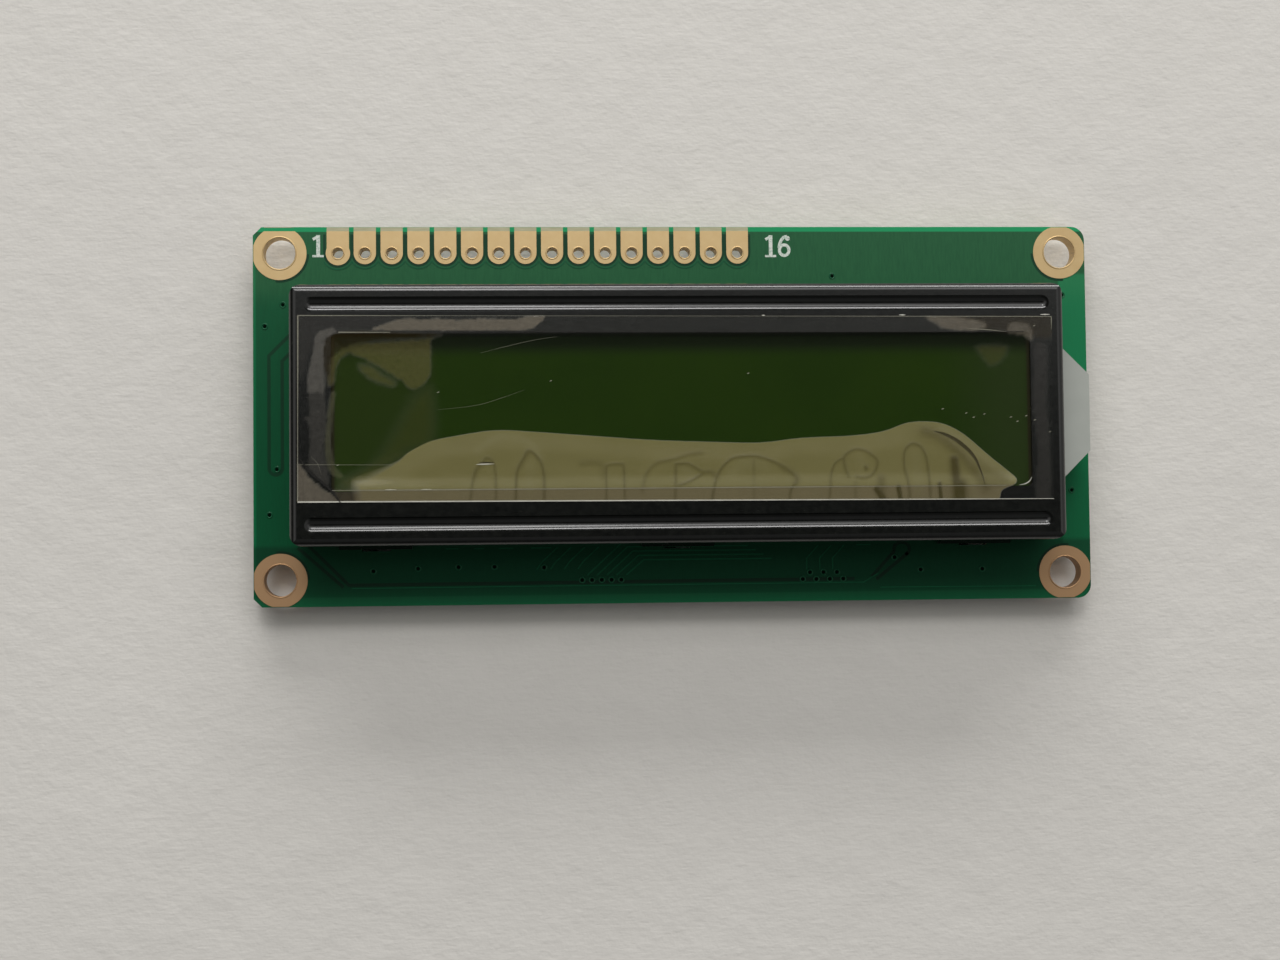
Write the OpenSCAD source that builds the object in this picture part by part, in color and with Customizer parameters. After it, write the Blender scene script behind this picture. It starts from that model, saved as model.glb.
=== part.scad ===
// Two-line character display module.
// The frame's origin is the centre of the four mounting holes on the board's back face.
// +X runs along the board, +Y to the pin row and +Z out of the display.

/* [Circuit board] */
// Length of the board
board_l = 80; // [70:0.5:100]
// Width of the board
board_w = 36; // [32:0.5:50]
// Thickness of the board
board_t = 1.6; // [0.8:0.1:2.4]
// Radius of the two right-hand corners
board_corner_r = 1.3; // [0.5:0.1:1.5]
// Chamfer of the two left-hand corners
board_chamfer = 0.8; // [0.3:0.1:1.2]

/* [Mounting holes] */
// Distance of a mounting hole's centre from the board's edges
hole_edge = 2.5; // [2.2:0.1:2.9]
// Diameter of a mounting hole, inside its plating
hole_d = 3; // [2.4:0.1:3.4]
// Diameter of the plated ring round a mounting hole
ring_d = 5.1; // [4.4:0.1:5.7]

/* [Pin row] */
// Number of pins
pins = 16; // [14:1:18]
// Distance from one pin to the next
pin_pitch = 2.54; // [2.4:0.02:2.8]
// Distance of the first pin from the board's left end
first_pin_end = 8; // [7:0.1:9]
// Distance of the pin row from the board's upper edge
pin_edge = 2.5; // [2.2:0.1:2.8]
// Diameter of a pin hole, inside its plating
pin_hole_d = 1; // [0.8:0.05:1.2]
// Width of a pin's pad
pin_pad_w = 2.1; // [1.7:0.05:2.3]
// Diameter of the round part of the first pin's pad
first_pad_d = 2.3; // [2.1:0.05:2.5]
// Diameter of a pin's pad on the back
back_pad_d = 1.9; // [1.6:0.05:2.2]
// Thickness of the plating
plating_t = 0.05; // [0.03:0.01:0.1]
// Bare strip between a pad and the board's upper edge
pad_edge_gap = 0.4; // [0.2:0.05:0.5]
// Bare strip between a ring and the board's other edges
ring_edge_gap = 0.06; // [0.04:0.02:0.2]

/* [Bezel] */
// Distance of the bezel's ends from the board's ends
bezel_end = 4.15; // [3.8:0.05:6]
// Distance of the bezel from the board's upper edge
bezel_upper = 6.4; // [5.8:0.1:7]
// Distance of the bezel from the board's lower edge
bezel_lower = 5.65; // [5.1:0.05:6]
// Height of the bezel above the board
bezel_h = 7; // [6.2:0.1:9]
// Thickness of the bezel's sheet
sheet_t = 0.4; // [0.3:0.05:0.5]
// Outer radius of the bends round the bezel's face
bend_r = 0.7; // [0.6:0.05:1]
// Radius of the bezel's four corners in plan
bezel_corner_r = 1.2; // [1:0.1:2]

/* [Window] */
// Width of the face left of the window
border_left = 3.85; // [3:0.05:5]
// Width of the face right of the window
border_right = 3.25; // [2.6:0.05:5]
// Width of the face above the window
border_upper = 4.6; // [4:0.1:6]
// Width of the face below the window
border_lower = 4.95; // [4.6:0.05:6]
// Radius of the window's corners
window_r = 0.5; // [0.2:0.1:1]

/* [Pressed ribs] */
// Distance of a rib's ends from the bezel's ends
rib_end = 1.4; // [1.2:0.1:4]
// Distance of a rib's middle from the bezel's edge
rib_edge = 1.9; // [1.8:0.05:2.2]
// Width of a rib
rib_w = 1.4; // [1.2:0.05:1.6]
// Depth of a rib
rib_depth = 0.35; // [0.2:0.05:0.4]

/* [Tabs] */
// Distance of the outer tabs from the bezel's ends
tab_end = 7.35; // [5:0.05:10]
// Width of a tab
tab_w = 2.4; // [1.8:0.1:3]
// Length of a tab below the board
tab_reach = 1.5; // [1.3:0.1:2]
// Angle through which a tab is twisted
tab_twist = 35; // [20:1:50]
// Depth below the board at which the twist begins
tab_neck = 0.1; // [0.05:0.05:0.3]
// Clearance round a tab in its slot
slot_gap = 0.15; // [0.1:0.05:0.4]
// Length of the pressed-out foot above each tab
foot_l = 6.8; // [5:0.1:8]
// Distance that a foot stands out from the wall
foot_out = 0.3; // [0.2:0.05:0.35]
// Height of a foot
foot_h = 0.9; // [0.6:0.1:1.5]

/* [Display cell] */
// Gap between the front glass and the bezel's end walls
glass_end_gap = 1.45; // [0.3:0.05:2]
// Clearance between the front glass and the ribs
glass_rib_gap = 0.1; // [0.05:0.05:0.3]
// Distance by which the front glass is longer at each end than the rear one
rear_glass_end = 0.5; // [0.2:0.1:1.5]
// Thickness of each glass
glass_t = 1.1; // [0.5:0.1:1.2]
// Thickness of the liquid crystal between the glasses
crystal_t = 0.1; // [0.05:0.05:0.2]
// Width of the seal round the liquid crystal
seal_w = 1; // [0.5:0.1:2]
// Thickness of each polarizer
polarizer_t = 0.2; // [0.1:0.05:0.3]
// Distance of a polarizer's edge from its glass's edge
polarizer_inset = 0.4; // [0.2:0.1:0.7]

/* [Contact strips] */
// Width of a rubber contact strip
strip_w = 1.4; // [1:0.1:1.5]
// Distance of a strip from the front glass's long edge
strip_edge = 0.1; // [0.05:0.05:0.3]
// Clearance between a strip and the rear glass
strip_gap = 0.15; // [0.1:0.05:0.3]
// Distance of a strip's ends from the front glass's ends
strip_end = 1.5; // [1:0.1:4]

/* [Backlight] */
// Thickness of the reflecting sheet under the light guide
reflector_t = 0.2; // [0.1:0.05:0.3]
// Thickness of the diffusing sheet over the light guide
diffuser_t = 0.2; // [0.1:0.05:0.3]
// Clearance between the light guide and the contact strips
guide_gap = 0.25; // [0.1:0.05:0.5]
// Gap between the light guide and the bezel's left wall
guide_end_gap = 1.6; // [0.5:0.1:2.5]
// Distance that the ear stands out from the bezel
ear_reach = 3.2; // [3:0.1:3.9]
// Distance by which each side of the ear comes in at its tip, at 45 degrees
ear_taper = 3.8; // [3:0.1:4.2]
// Thickness of the white film over the ear
ear_film_t = 0.15; // [0.1:0.05:0.3]
// Clearance between the ear and the notch in the bezel
notch_gap = 0.15; // [0.1:0.05:0.3]
// Length of the lamp along the board
lamp_l = 1.6; // [1.2:0.1:1.8]
// Distance of the lamp's sides from the corners of the ear's tip
lamp_side = 1.2; // [0.6:0.1:1.6]
// Diameter of a lamp lead
lead_d = 0.5; // [0.4:0.05:0.6]
// Distance between the lamp's leads
lead_pitch = 2.54; // [2:0.02:3]
// Diameter of the board's hole for a lead
lead_hole_d = 0.8; // [0.7:0.05:1]
// Length of a lead below the board
lead_reach = 1; // [0.8:0.1:1.2]
// Length of a lead left bare below its solder
lead_bare = 0.3; // [0.1:0.05:0.5]
// Width of the solder's rim round a lead's tip
solder_rim = 0.08; // [0.05:0.01:0.15]

/* [Protective film] */
// Distance of the film from the bezel's ends
film_end = 1; // [0.6:0.05:3]
// Distance of the film from the bezel's long edges
film_side = 3.4; // [3:0.05:4]
// Thickness of the film
film_t = 0.08; // [0.05:0.01:0.2]
// Radius of the film's corners
film_corner_r = 0.3; // [0.1:0.1:1]
// Distance by which the film lies off centre towards the left
film_left = 0.2; // [0:0.05:0.4]
// Distance by which the film lies off centre towards the pin row
film_up = 0.4; // [0:0.05:0.6]
// Angle at which the film lies
film_skew = -0.25; // [-0.3:0.05:0.3]

/* [Back of the board] */
// Radius of a resin chip cover
cover_r = 7.5; // [6:0.1:8.5]
// Height of a resin chip cover
cover_h = 1.1; // [0.8:0.1:1.2]
// Distance of the left chip cover from the board's middle
cover_left = 17; // [14:0.5:20]
// Distance of the right chip cover from the board's middle
cover_right = 15; // [12:0.5:18]
// Distance between the chip covers and the small parts, across the board
parts_gap = 0.6; // [0.3:0.1:1]
// Distance from one resistor to the next
resistor_pitch = 3.6; // [3:0.1:4.2]
// Distance between the two capacitors
capacitor_pitch = 4; // [3:0.5:6]
// Length of a surface-mounted part
chip_l = 2; // [1.6:0.1:2.2]
// Width of a surface-mounted part
chip_w = 1.25; // [0.8:0.05:1.4]
// Height of a resistor
resistor_h = 0.5; // [0.4:0.05:0.6]
// Height of a capacitor
capacitor_h = 0.8; // [0.6:0.05:1]

/* [Hidden] */
$fn = 64;
eps = sheet_t / 40;
corner_sides = [[-1, 1], [1, 1], [-1, -1], [1, -1]];
corner_names = ["top_left", "top_right", "bottom_left", "bottom_right"];
resistors = 6;

hole_x = board_l / 2 - hole_edge;
hole_y = board_w / 2 - hole_edge;
pin_y = board_w / 2 - pin_edge;
barrel_r = pin_hole_d / 2 + plating_t;
ring_barrel_r = hole_d / 2 + plating_t;

bezel_l = board_l - 2 * bezel_end;
bezel_w = board_w - bezel_upper - bezel_lower;
bezel_y = (bezel_lower - bezel_upper) / 2;
bezel_top = board_t + bezel_h;
bezel_inside = bezel_top - sheet_t;
inner_l = bezel_l - 2 * sheet_t;
inner_w = bezel_w - 2 * sheet_t;
window_l = bezel_l - border_left - border_right;
window_w = bezel_w - border_upper - border_lower;

// A rib's section is an arc; its bulge under the sheet is the same arc, one sheet further out.
rib_l = bezel_l - 2 * rib_end;
rib_y = bezel_w / 2 - rib_edge;
rib_r = (rib_w * rib_w / 4 + rib_depth * rib_depth) / (2 * rib_depth);
bulge_half = sqrt(pow(rib_r + sheet_t, 2) - pow(rib_r - rib_depth + sheet_t, 2));

tab_x = bezel_l / 2 - tab_end;
tab_y = bezel_w / 2 - sheet_t / 2 + foot_out;
slot_l = tab_w + 2 * slot_gap;
slot_w = sheet_t + 2 * slot_gap;

front_glass_l = inner_l - 2 * glass_end_gap;
front_glass_w = 2 * (rib_y - bulge_half - glass_rib_gap);
rear_glass_l = front_glass_l - 2 * rear_glass_end;
rear_glass_w = front_glass_w - 2 * (strip_edge + strip_w + strip_gap);
strip_l = front_glass_l - 2 * strip_end;
strip_y = front_glass_w / 2 - strip_edge - strip_w / 2;
guide_w = front_glass_w - 2 * (strip_edge + strip_w + guide_gap);
front_polarizer_z = bezel_inside - polarizer_t;
front_glass_z = front_polarizer_z - glass_t;
crystal_z = front_glass_z - crystal_t;
rear_glass_z = crystal_z - glass_t;
rear_polarizer_z = rear_glass_z - polarizer_t;
diffuser_z = rear_polarizer_z - diffuser_t;
guide_z = board_t + reflector_t;
guide_t = diffuser_z - guide_z;

guide_x0 = guide_end_gap - inner_l / 2;
guide_tip_x = bezel_l / 2 + ear_reach - ear_film_t;
taper_x = guide_tip_x - ear_taper;
lamp_x = guide_tip_x - lamp_l / 2;
lamp_w = guide_w - 2 * ear_taper - 2 * lamp_side;
ear_cover_h = reflector_t + guide_t + ear_film_t;

film_l = bezel_l - 2 * film_end;
film_w = bezel_w - 2 * film_side;
resistor_y = bezel_y + cover_r + parts_gap + chip_l / 2;
capacitor_y = bezel_y - cover_r - parts_gap - chip_l / 2;

SMALL_PARTS = concat(
    [for (i = [1 : resistors]) str("resistor_", i)],
    ["capacitor_1", "capacitor_2"]);
PIN_PADS = [for (i = [1 : pins]) pad_name(i)];
CORNER_PADS = [for (name = corner_names) str("corner_pad_", name)];

function pad_name(i) = str("pin_pad_", i < 10 ? "0" : "", i);
function pin_x(i) = first_pin_end - board_l / 2 + (i - 1) * pin_pitch;
function lead_y(side) = bezel_y + side * lead_pitch / 2;

// ---- shared shapes ----

// Rectangle about the origin with round corners
module round_rect(l, w, r) {
    square([l - 2 * r, w], center = true);
    square([l, w - 2 * r], center = true);
    for (sx = [-1, 1], sy = [-1, 1])
        translate([sx * (l / 2 - r), sy * (w / 2 - r)]) circle(r);
}

// Flat layer of the display about the bezel's centre, from one height up
module layer(l, w, z, t) {
    translate([-l / 2, bezel_y - w / 2, z]) cube([l, w, t]);
}

// Board outline: chamfered at the left, round at the right
module board_outline() {
    difference() {
        square([board_l, board_w], center = true);
        for (sy = [-1, 1]) {
            translate([-board_l / 2, sy * board_w / 2])
                rotate(45) square(board_chamfer * sqrt(2), center = true);
            translate([board_l / 2, sy * board_w / 2])
                square(2 * board_corner_r, center = true);
        }
    }
    for (sy = [-1, 1])
        translate([board_l / 2 - board_corner_r, sy * (board_w / 2 - board_corner_r)])
            circle(board_corner_r);
}

// ---- circuit board ----

module at_mount_holes() {
    for (s = corner_sides) translate([s[0] * hole_x, s[1] * hole_y]) children();
}

module at_tabs() {
    for (i = [-1 : 1], side = [-1, 1])
        translate([i * tab_x, bezel_y + side * tab_y]) children();
}

module circuit_board() {
    color("#1d6b46")
    linear_extrude(board_t) difference() {
        board_outline();
        at_mount_holes() circle(ring_barrel_r);
        for (i = [1 : pins]) translate([pin_x(i), pin_y]) circle(barrel_r);
        at_tabs() square([slot_l, slot_w], center = true);
        for (side = [-1, 1]) translate([lamp_x, lead_y(side)]) circle(lead_hole_d / 2);
    }
}

// ---- plated holes ----

// A plated hole: one flat pad on each face and the barrel between them
module plated_hole(r) {
    difference() {
        union() {
            translate([0, 0, board_t]) linear_extrude(plating_t) children(0);
            translate([0, 0, -plating_t]) linear_extrude(plating_t) children(1);
            translate([0, 0, -plating_t]) cylinder(r = r + plating_t, h = board_t + 2 * plating_t);
        }
        translate([0, 0, -board_t]) cylinder(r = r, h = 3 * board_t);
    }
}

// Pad that runs from the hole up to the bare strip at the board's edge
module pin_pad_plan(i) {
    reach = pin_edge - pad_edge_gap;
    translate([-pin_pad_w / 2, 0]) square([pin_pad_w, reach]);
    circle(d = i == 1 ? first_pad_d : pin_pad_w);
}

module pin_pad(i) {
    color("#c6a778") translate([pin_x(i), pin_y, 0]) plated_hole(pin_hole_d / 2) {
        pin_pad_plan(i);
        circle(d = back_pad_d);
    }
}

// Ring of a mounting hole, cut back where it would reach the board's edge
module ring_plan(side, gap_y) {
    out_x = hole_edge - ring_edge_gap;
    out_y = hole_edge - gap_y;
    x0 = side[0] > 0 ? -ring_d : -out_x;
    y0 = side[1] > 0 ? -ring_d : -out_y;
    intersection() {
        circle(d = ring_d);
        translate([x0, y0]) square([ring_d + out_x, ring_d + out_y]);
    }
}

module corner_pad(k) {
    side = corner_sides[k];
    // Only the ring beside the first pin shares the pads' bare strip.
    gap_y = k == 0 ? pad_edge_gap : ring_edge_gap;
    color("#c6a778")
    translate([side[0] * hole_x, side[1] * hole_y, 0])
        plated_hole(hole_d / 2) {
            ring_plan(side, gap_y);
            ring_plan(side, ring_edge_gap);
        }
}

// ---- bezel ----

// Block with bent upper edges: the common part of three extrusions
module bent_block(l, w, h, r_bend, r_plan) {
    intersection() {
        linear_extrude(h) round_rect(l, w, r_plan);
        translate([0, w, 0]) rotate([90, 0, 0]) linear_extrude(2 * w) bent_profile(l, h, r_bend);
        translate([-l, 0, 0]) rotate([90, 0, 90]) linear_extrude(2 * l) bent_profile(w, h, r_bend);
    }
}

module bent_profile(l, h, r) {
    translate([-l / 2, 0]) square([l, h - r]);
    translate([-l / 2 + r, 0]) square([l - 2 * r, h]);
    for (s = [-1, 1]) translate([s * (l / 2 - r), h - r]) circle(r);
}

// Round-ended bar whose lower side presses a rib into the face
module rib_tool(r) {
    reach = rib_l / 2 - rib_w / 2;
    translate([-reach, 0, 0]) rotate([0, 90, 0]) cylinder(r = r, h = 2 * reach);
    for (s = [-1, 1]) translate([s * reach, 0, 0]) sphere(r);
}

module at_ribs() {
    for (side = [-1, 1]) translate([0, side * rib_y, bezel_h + rib_r - rib_depth]) children();
}

// Section of the foot pressed out of the wall above a tab; x is outward
module foot_profile(out, h) {
    slope = out + sheet_t;
    polygon([[-sheet_t, 0], [out, 0], [out, h], [0, h + slope], [-sheet_t, h + slope]]);
}

module foot() {
    rotate([90, 0, 90]) translate([0, 0, -foot_l / 2]) linear_extrude(foot_l) difference() {
        foot_profile(foot_out, foot_h);
        translate([0, -eps]) foot_profile(foot_out - sheet_t, foot_h - sheet_t / 2);
    }
}

// Tab through the board: straight in its slot, twisted below it
module tab() {
    translate([-tab_w / 2, -sheet_t / 2, -board_t - tab_neck])
        cube([tab_w, sheet_t, board_t + tab_neck + foot_h / 2]);
    translate([0, 0, -board_t - tab_reach]) rotate(tab_twist)
        translate([-tab_w / 2, -sheet_t / 2, 0]) cube([tab_w, sheet_t, tab_reach - tab_neck]);
}

module bezel() {
    inner_h = bezel_h - sheet_t;
    window_x = (border_left - border_right) / 2;
    window_y = (border_lower - border_upper) / 2;
    color("#17181a") translate([0, bezel_y, board_t]) difference() {
        union() {
            difference() {
                bent_block(bezel_l, bezel_w, bezel_h, bend_r, bezel_corner_r);
                translate([0, 0, -eps])
                    bent_block(inner_l, inner_w, inner_h + eps, bend_r - sheet_t, bezel_corner_r - sheet_t);
                foot_openings();
            }
            intersection() {
                at_ribs() rib_tool(rib_r + sheet_t);
                translate([-inner_l / 2, -inner_w / 2, 0]) cube([inner_l, inner_w, inner_h + eps]);
            }
            for (i = [-1 : 1], side = [-1, 1])
                translate([i * tab_x, side * bezel_w / 2, 0]) mirror([0, side < 0 ? 1 : 0, 0]) foot();
            for (i = [-1 : 1], side = [-1, 1]) translate([i * tab_x, side * tab_y, 0]) tab();
        }
        at_ribs() rib_tool(rib_r);
        translate([window_x, window_y, 0]) linear_extrude(2 * bezel_h)
            round_rect(window_l, window_w, window_r);
        ear_notch();
    }
}

// Gaps in the walls where the feet are pressed out of them
module foot_openings() {
    h = foot_h + foot_out + sheet_t;
    for (i = [-1 : 1], side = [-1, 1])
        translate([i * tab_x, side * (bezel_w - sheet_t) / 2, h / 2 - eps])
            cube([foot_l, sheet_t + 2 * eps, h], center = true);
}

// Opening in the right wall through which the ear passes
module ear_notch() {
    half = guide_w / 2 + ear_film_t + notch_gap;
    translate([bezel_l / 2 - 2 * sheet_t, -half, -ear_cover_h])
        cube([3 * sheet_t, 2 * half, 2 * ear_cover_h + notch_gap]);
}

// ---- display cell ----

module front_polarizer() {
    color("#2a3018") layer(front_glass_l - 2 * polarizer_inset,
        front_glass_w - 2 * polarizer_inset, front_polarizer_z, polarizer_t);
}

module front_glass() {
    color("#dfe8e2", 0.4) layer(front_glass_l, front_glass_w, front_glass_z, glass_t);
}

module cell_seal() {
    color("#8f8f86") difference() {
        layer(rear_glass_l, rear_glass_w, crystal_z, crystal_t);
        layer(rear_glass_l - 2 * seal_w, rear_glass_w - 2 * seal_w,
            crystal_z - crystal_t, 3 * crystal_t);
    }
}

module liquid_crystal() {
    color("#55602a") layer(rear_glass_l - 2 * seal_w, rear_glass_w - 2 * seal_w,
        crystal_z, crystal_t);
}

module rear_glass() {
    color("#dfe8e2", 0.4) layer(rear_glass_l, rear_glass_w, rear_glass_z, glass_t);
}

module rear_polarizer() {
    color("#7b8a3c") layer(rear_glass_l - 2 * polarizer_inset,
        rear_glass_w - 2 * polarizer_inset, rear_polarizer_z, polarizer_t);
}

module contact_strip(side) {
    color("#4a4a4c") translate([-strip_l / 2, bezel_y + side * strip_y - strip_w / 2, board_t])
        cube([strip_l, strip_w, front_glass_z - board_t]);
}

// ---- backlight ----

// Plan of the light guide from one place to the ear's tip, grown by a film's thickness
module guide_plan(x0, grow = 0) {
    shift = grow * tan(22.5);
    turn = taper_x + shift;
    tip = guide_tip_x + grow;
    half = guide_w / 2 + grow;
    tip_half = guide_w / 2 - ear_taper + shift;
    polygon([[x0, -half], [turn, -half], [tip, -tip_half], [tip, tip_half], [turn, half], [x0, half]]);
}

// Pocket for the lamp, open at the ear's tip
module lamp_plan() {
    translate([lamp_x - lamp_l / 2, -lamp_w / 2]) square([lamp_l, lamp_w]);
}

module light_guide() {
    color("#c9cfc8", 0.6) translate([0, bezel_y, guide_z]) linear_extrude(guide_t) difference() {
        guide_plan(guide_x0);
        lamp_plan();
    }
}

module reflector_sheet() {
    color("#e4e5e0") translate([0, bezel_y, board_t]) linear_extrude(reflector_t) difference() {
        guide_plan(guide_x0);
        for (side = [-1, 1]) translate([lamp_x, side * lead_pitch / 2]) circle(lead_hole_d / 2);
    }
}

module diffuser_sheet() {
    color("#e9ebe4") layer(rear_glass_l - 2 * polarizer_inset, guide_w, diffuser_z, diffuser_t);
}

// White film folded over the ear's top and its three open sides
module ear_cover() {
    color("#a7aaa2") translate([0, bezel_y, board_t]) difference() {
        linear_extrude(ear_cover_h) intersection() {
            guide_plan(guide_x0, ear_film_t);
            translate([inner_l / 2, -guide_w]) square(2 * guide_w);
        }
        translate([0, 0, -eps]) linear_extrude(reflector_t + guide_t + eps) guide_plan(guide_x0);
    }
}

module side_lamp() {
    color("#f0efe6") translate([0, bezel_y, guide_z]) linear_extrude(guide_t) lamp_plan();
}

module lamp_lead(side) {
    color("#b9bbbd") translate([lamp_x, lead_y(side), -lead_reach])
        cylinder(d = lead_d, h = guide_z + lead_reach);
}

// Solder in the board's hole and its cone on the back
module lead_solder(side) {
    cone_h = lead_reach - lead_bare;
    color("#a9abad") translate([lamp_x, lead_y(side), 0]) difference() {
        union() {
            translate([0, 0, -cone_h]) cylinder(r1 = lead_d / 2 + solder_rim, r2 = lead_hole_d, h = cone_h);
            cylinder(d = lead_hole_d, h = board_t);
        }
        translate([0, 0, -2 * cone_h]) cylinder(d = lead_d, h = 2 * cone_h + 2 * board_t);
    }
}

// ---- protective film ----

module protective_film() {
    color("#a9a48c", 0.35) translate([-film_left, bezel_y + film_up, bezel_top])
        rotate(film_skew) linear_extrude(film_t) round_rect(film_l, film_w, film_corner_r);
}

// ---- back of the board ----

// Low dome of resin: the cap of a sphere
module chip_cover(x) {
    r = (cover_r * cover_r + cover_h * cover_h) / (2 * cover_h);
    color("#1b1b1d") translate([x, bezel_y, 0]) rotate_extrude() intersection() {
        translate([0, r - cover_h]) circle(r, $fn = 720);
        translate([0, -2 * cover_h]) square([2 * cover_r, 2 * cover_h]);
    }
}

module chip_part(x, y, h, tone) {
    color(tone) translate([x - chip_w / 2, y - chip_l / 2, -h]) cube([chip_w, chip_l, h]);
}

module resistor(i) {
    chip_part((i - (resistors + 1) / 2) * resistor_pitch, resistor_y, resistor_h, "#26262a");
}

module capacitor(side) {
    chip_part(side * capacitor_pitch / 2, capacitor_y, capacitor_h, "#b58f68");
}

// ---- one node at a time, or all ----

circuit_board();
bezel();
protective_film();
front_polarizer();
front_glass();
cell_seal();
liquid_crystal();
rear_glass();
rear_polarizer();
contact_strip(1);  // contact_strip_upper
contact_strip(-1);  // contact_strip_lower
diffuser_sheet();
light_guide();
reflector_sheet();
ear_cover();
side_lamp();
lamp_lead(-1);  // lamp_lead_1
lamp_lead(1);  // lamp_lead_2
lead_solder(-1);  // lead_solder_1
lead_solder(1);  // lead_solder_2
chip_cover(-cover_left);  // chip_cover_left
chip_cover(cover_right);  // chip_cover_right
capacitor(-1);  // capacitor_1
capacitor(1);  // capacitor_2
for (i = [1 : resistors]) {
    resistor(i);
}
for (i = [1 : pins]) {
    pin_pad(i);
}
for (k = [0 : 3]) {
    corner_pad(k);
}
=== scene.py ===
"""Two-line character display module: the finish of every piece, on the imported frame.

Lengths are in millimetres until a mesh is placed. The floor, the lamps and the camera's near
limit are given in metres, as the whole scene is.
"""

import math

import bmesh
import bpy
from mathutils import Matrix, Vector, noise


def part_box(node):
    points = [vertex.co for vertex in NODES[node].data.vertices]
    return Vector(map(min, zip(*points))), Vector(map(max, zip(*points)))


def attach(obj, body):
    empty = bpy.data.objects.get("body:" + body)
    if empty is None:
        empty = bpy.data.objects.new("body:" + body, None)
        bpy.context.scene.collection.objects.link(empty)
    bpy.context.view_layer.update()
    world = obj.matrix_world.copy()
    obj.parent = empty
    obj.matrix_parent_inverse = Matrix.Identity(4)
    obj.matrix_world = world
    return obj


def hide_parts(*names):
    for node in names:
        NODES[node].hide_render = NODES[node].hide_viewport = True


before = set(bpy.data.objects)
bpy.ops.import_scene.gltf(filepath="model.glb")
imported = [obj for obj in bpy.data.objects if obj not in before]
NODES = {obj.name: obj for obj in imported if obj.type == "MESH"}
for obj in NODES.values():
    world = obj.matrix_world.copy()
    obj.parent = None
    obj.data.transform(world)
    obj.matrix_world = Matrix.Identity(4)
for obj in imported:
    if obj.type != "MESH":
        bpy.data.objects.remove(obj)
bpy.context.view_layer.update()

MM = 0.001
PINS = 16


def node_box(name):
    """A CAD node's lowest and highest corner in millimetres."""
    low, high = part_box(name)
    return Vector(low) / MM, Vector(high) / MM


def nodes_named(*starts):
    """The CAD nodes whose names start in one of these ways."""
    return [name for name in NODES if name.startswith(starts)]


def pin_pads():
    """Each pad of the pin row: where its middle lies, its lower end and its radius."""
    boxes = [node_box(f"pin_pad_{i:02d}") for i in range(1, PINS + 1)]
    return [((low.x + high.x) / 2, low.y, (high.x - low.x) / 2) for low, high in boxes]


HALF_L, HALF_W, BOARD_TOP = node_box("circuit_board")[1]
FLOOR = node_box("bezel")[0].z
FACE_TOP = node_box("bezel")[1].z
PAD_LOW, PAD_HIGH = node_box("pin_pad_02")
PIN_HOLE = 0.5
CORNER_HOLE = 1.5
# The middles of the corner holes; the pin holes lie in line with the upper two.
HOLE_X, HOLE_Y = HALF_L - 2.5, HALF_W - 2.5
CORNERS = [(side * HOLE_X, way * HOLE_Y) for side in (-1, 1) for way in (-1, 1)]
# How far the thin layers stand up from the board.
TRACE_UP = 0.035
STRIP_UP = 0.012
GAP_UP = 0.010
INK_UP = 0.012


# ---- camera

def new_object(name, data):
    made = bpy.data.objects.new(name, data)
    bpy.context.collection.objects.link(made)
    return made


CAMERA_PLACE = (-14.27, -13.66, 179.96 + BOARD_TOP)
CAMERA_TILT = (2.38, -3.40, -0.62)
CAMERA_LENS = 53.2


def make_camera():
    """Above the display, a little to the left of its middle and below it."""
    data = bpy.data.cameras.new("camera")
    data.sensor_width = 36
    data.lens = CAMERA_LENS
    data.clip_start = 0.005
    camera = new_object("camera", data)
    camera.location = Vector(CAMERA_PLACE) * MM
    camera.rotation_euler = [math.radians(angle) for angle in CAMERA_TILT]
    bpy.context.scene.camera = camera


make_camera()


# ---- shader maths

class Term:
    """A socket's value, or a number, inside an expression."""

    def __init__(self, graph, socket):
        self.graph = graph
        self.socket = socket

    def _math(self, operation, *terms):
        return self.graph.math(operation, *terms)

    def __add__(self, other):
        return self._math("ADD", self, other)

    def __radd__(self, other):
        return self._math("ADD", other, self)

    def __sub__(self, other):
        return self._math("SUBTRACT", self, other)

    def __rsub__(self, other):
        return self._math("SUBTRACT", other, self)

    def __mul__(self, other):
        return self._math("MULTIPLY", self, other)

    def __rmul__(self, other):
        return self._math("MULTIPLY", other, self)

    def __truediv__(self, other):
        return self._math("DIVIDE", self, other)

    def __rtruediv__(self, other):
        return self._math("DIVIDE", other, self)

    def __abs__(self):
        return self._math("ABSOLUTE", self)

    def __pow__(self, other):
        return self._math("POWER", self, other)

    def max(self, other):
        return self._math("MAXIMUM", self, other)

    def min(self, other):
        return self._math("MINIMUM", self, other)

    def clamp(self):
        return self.max(0.0).min(1.0)


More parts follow.
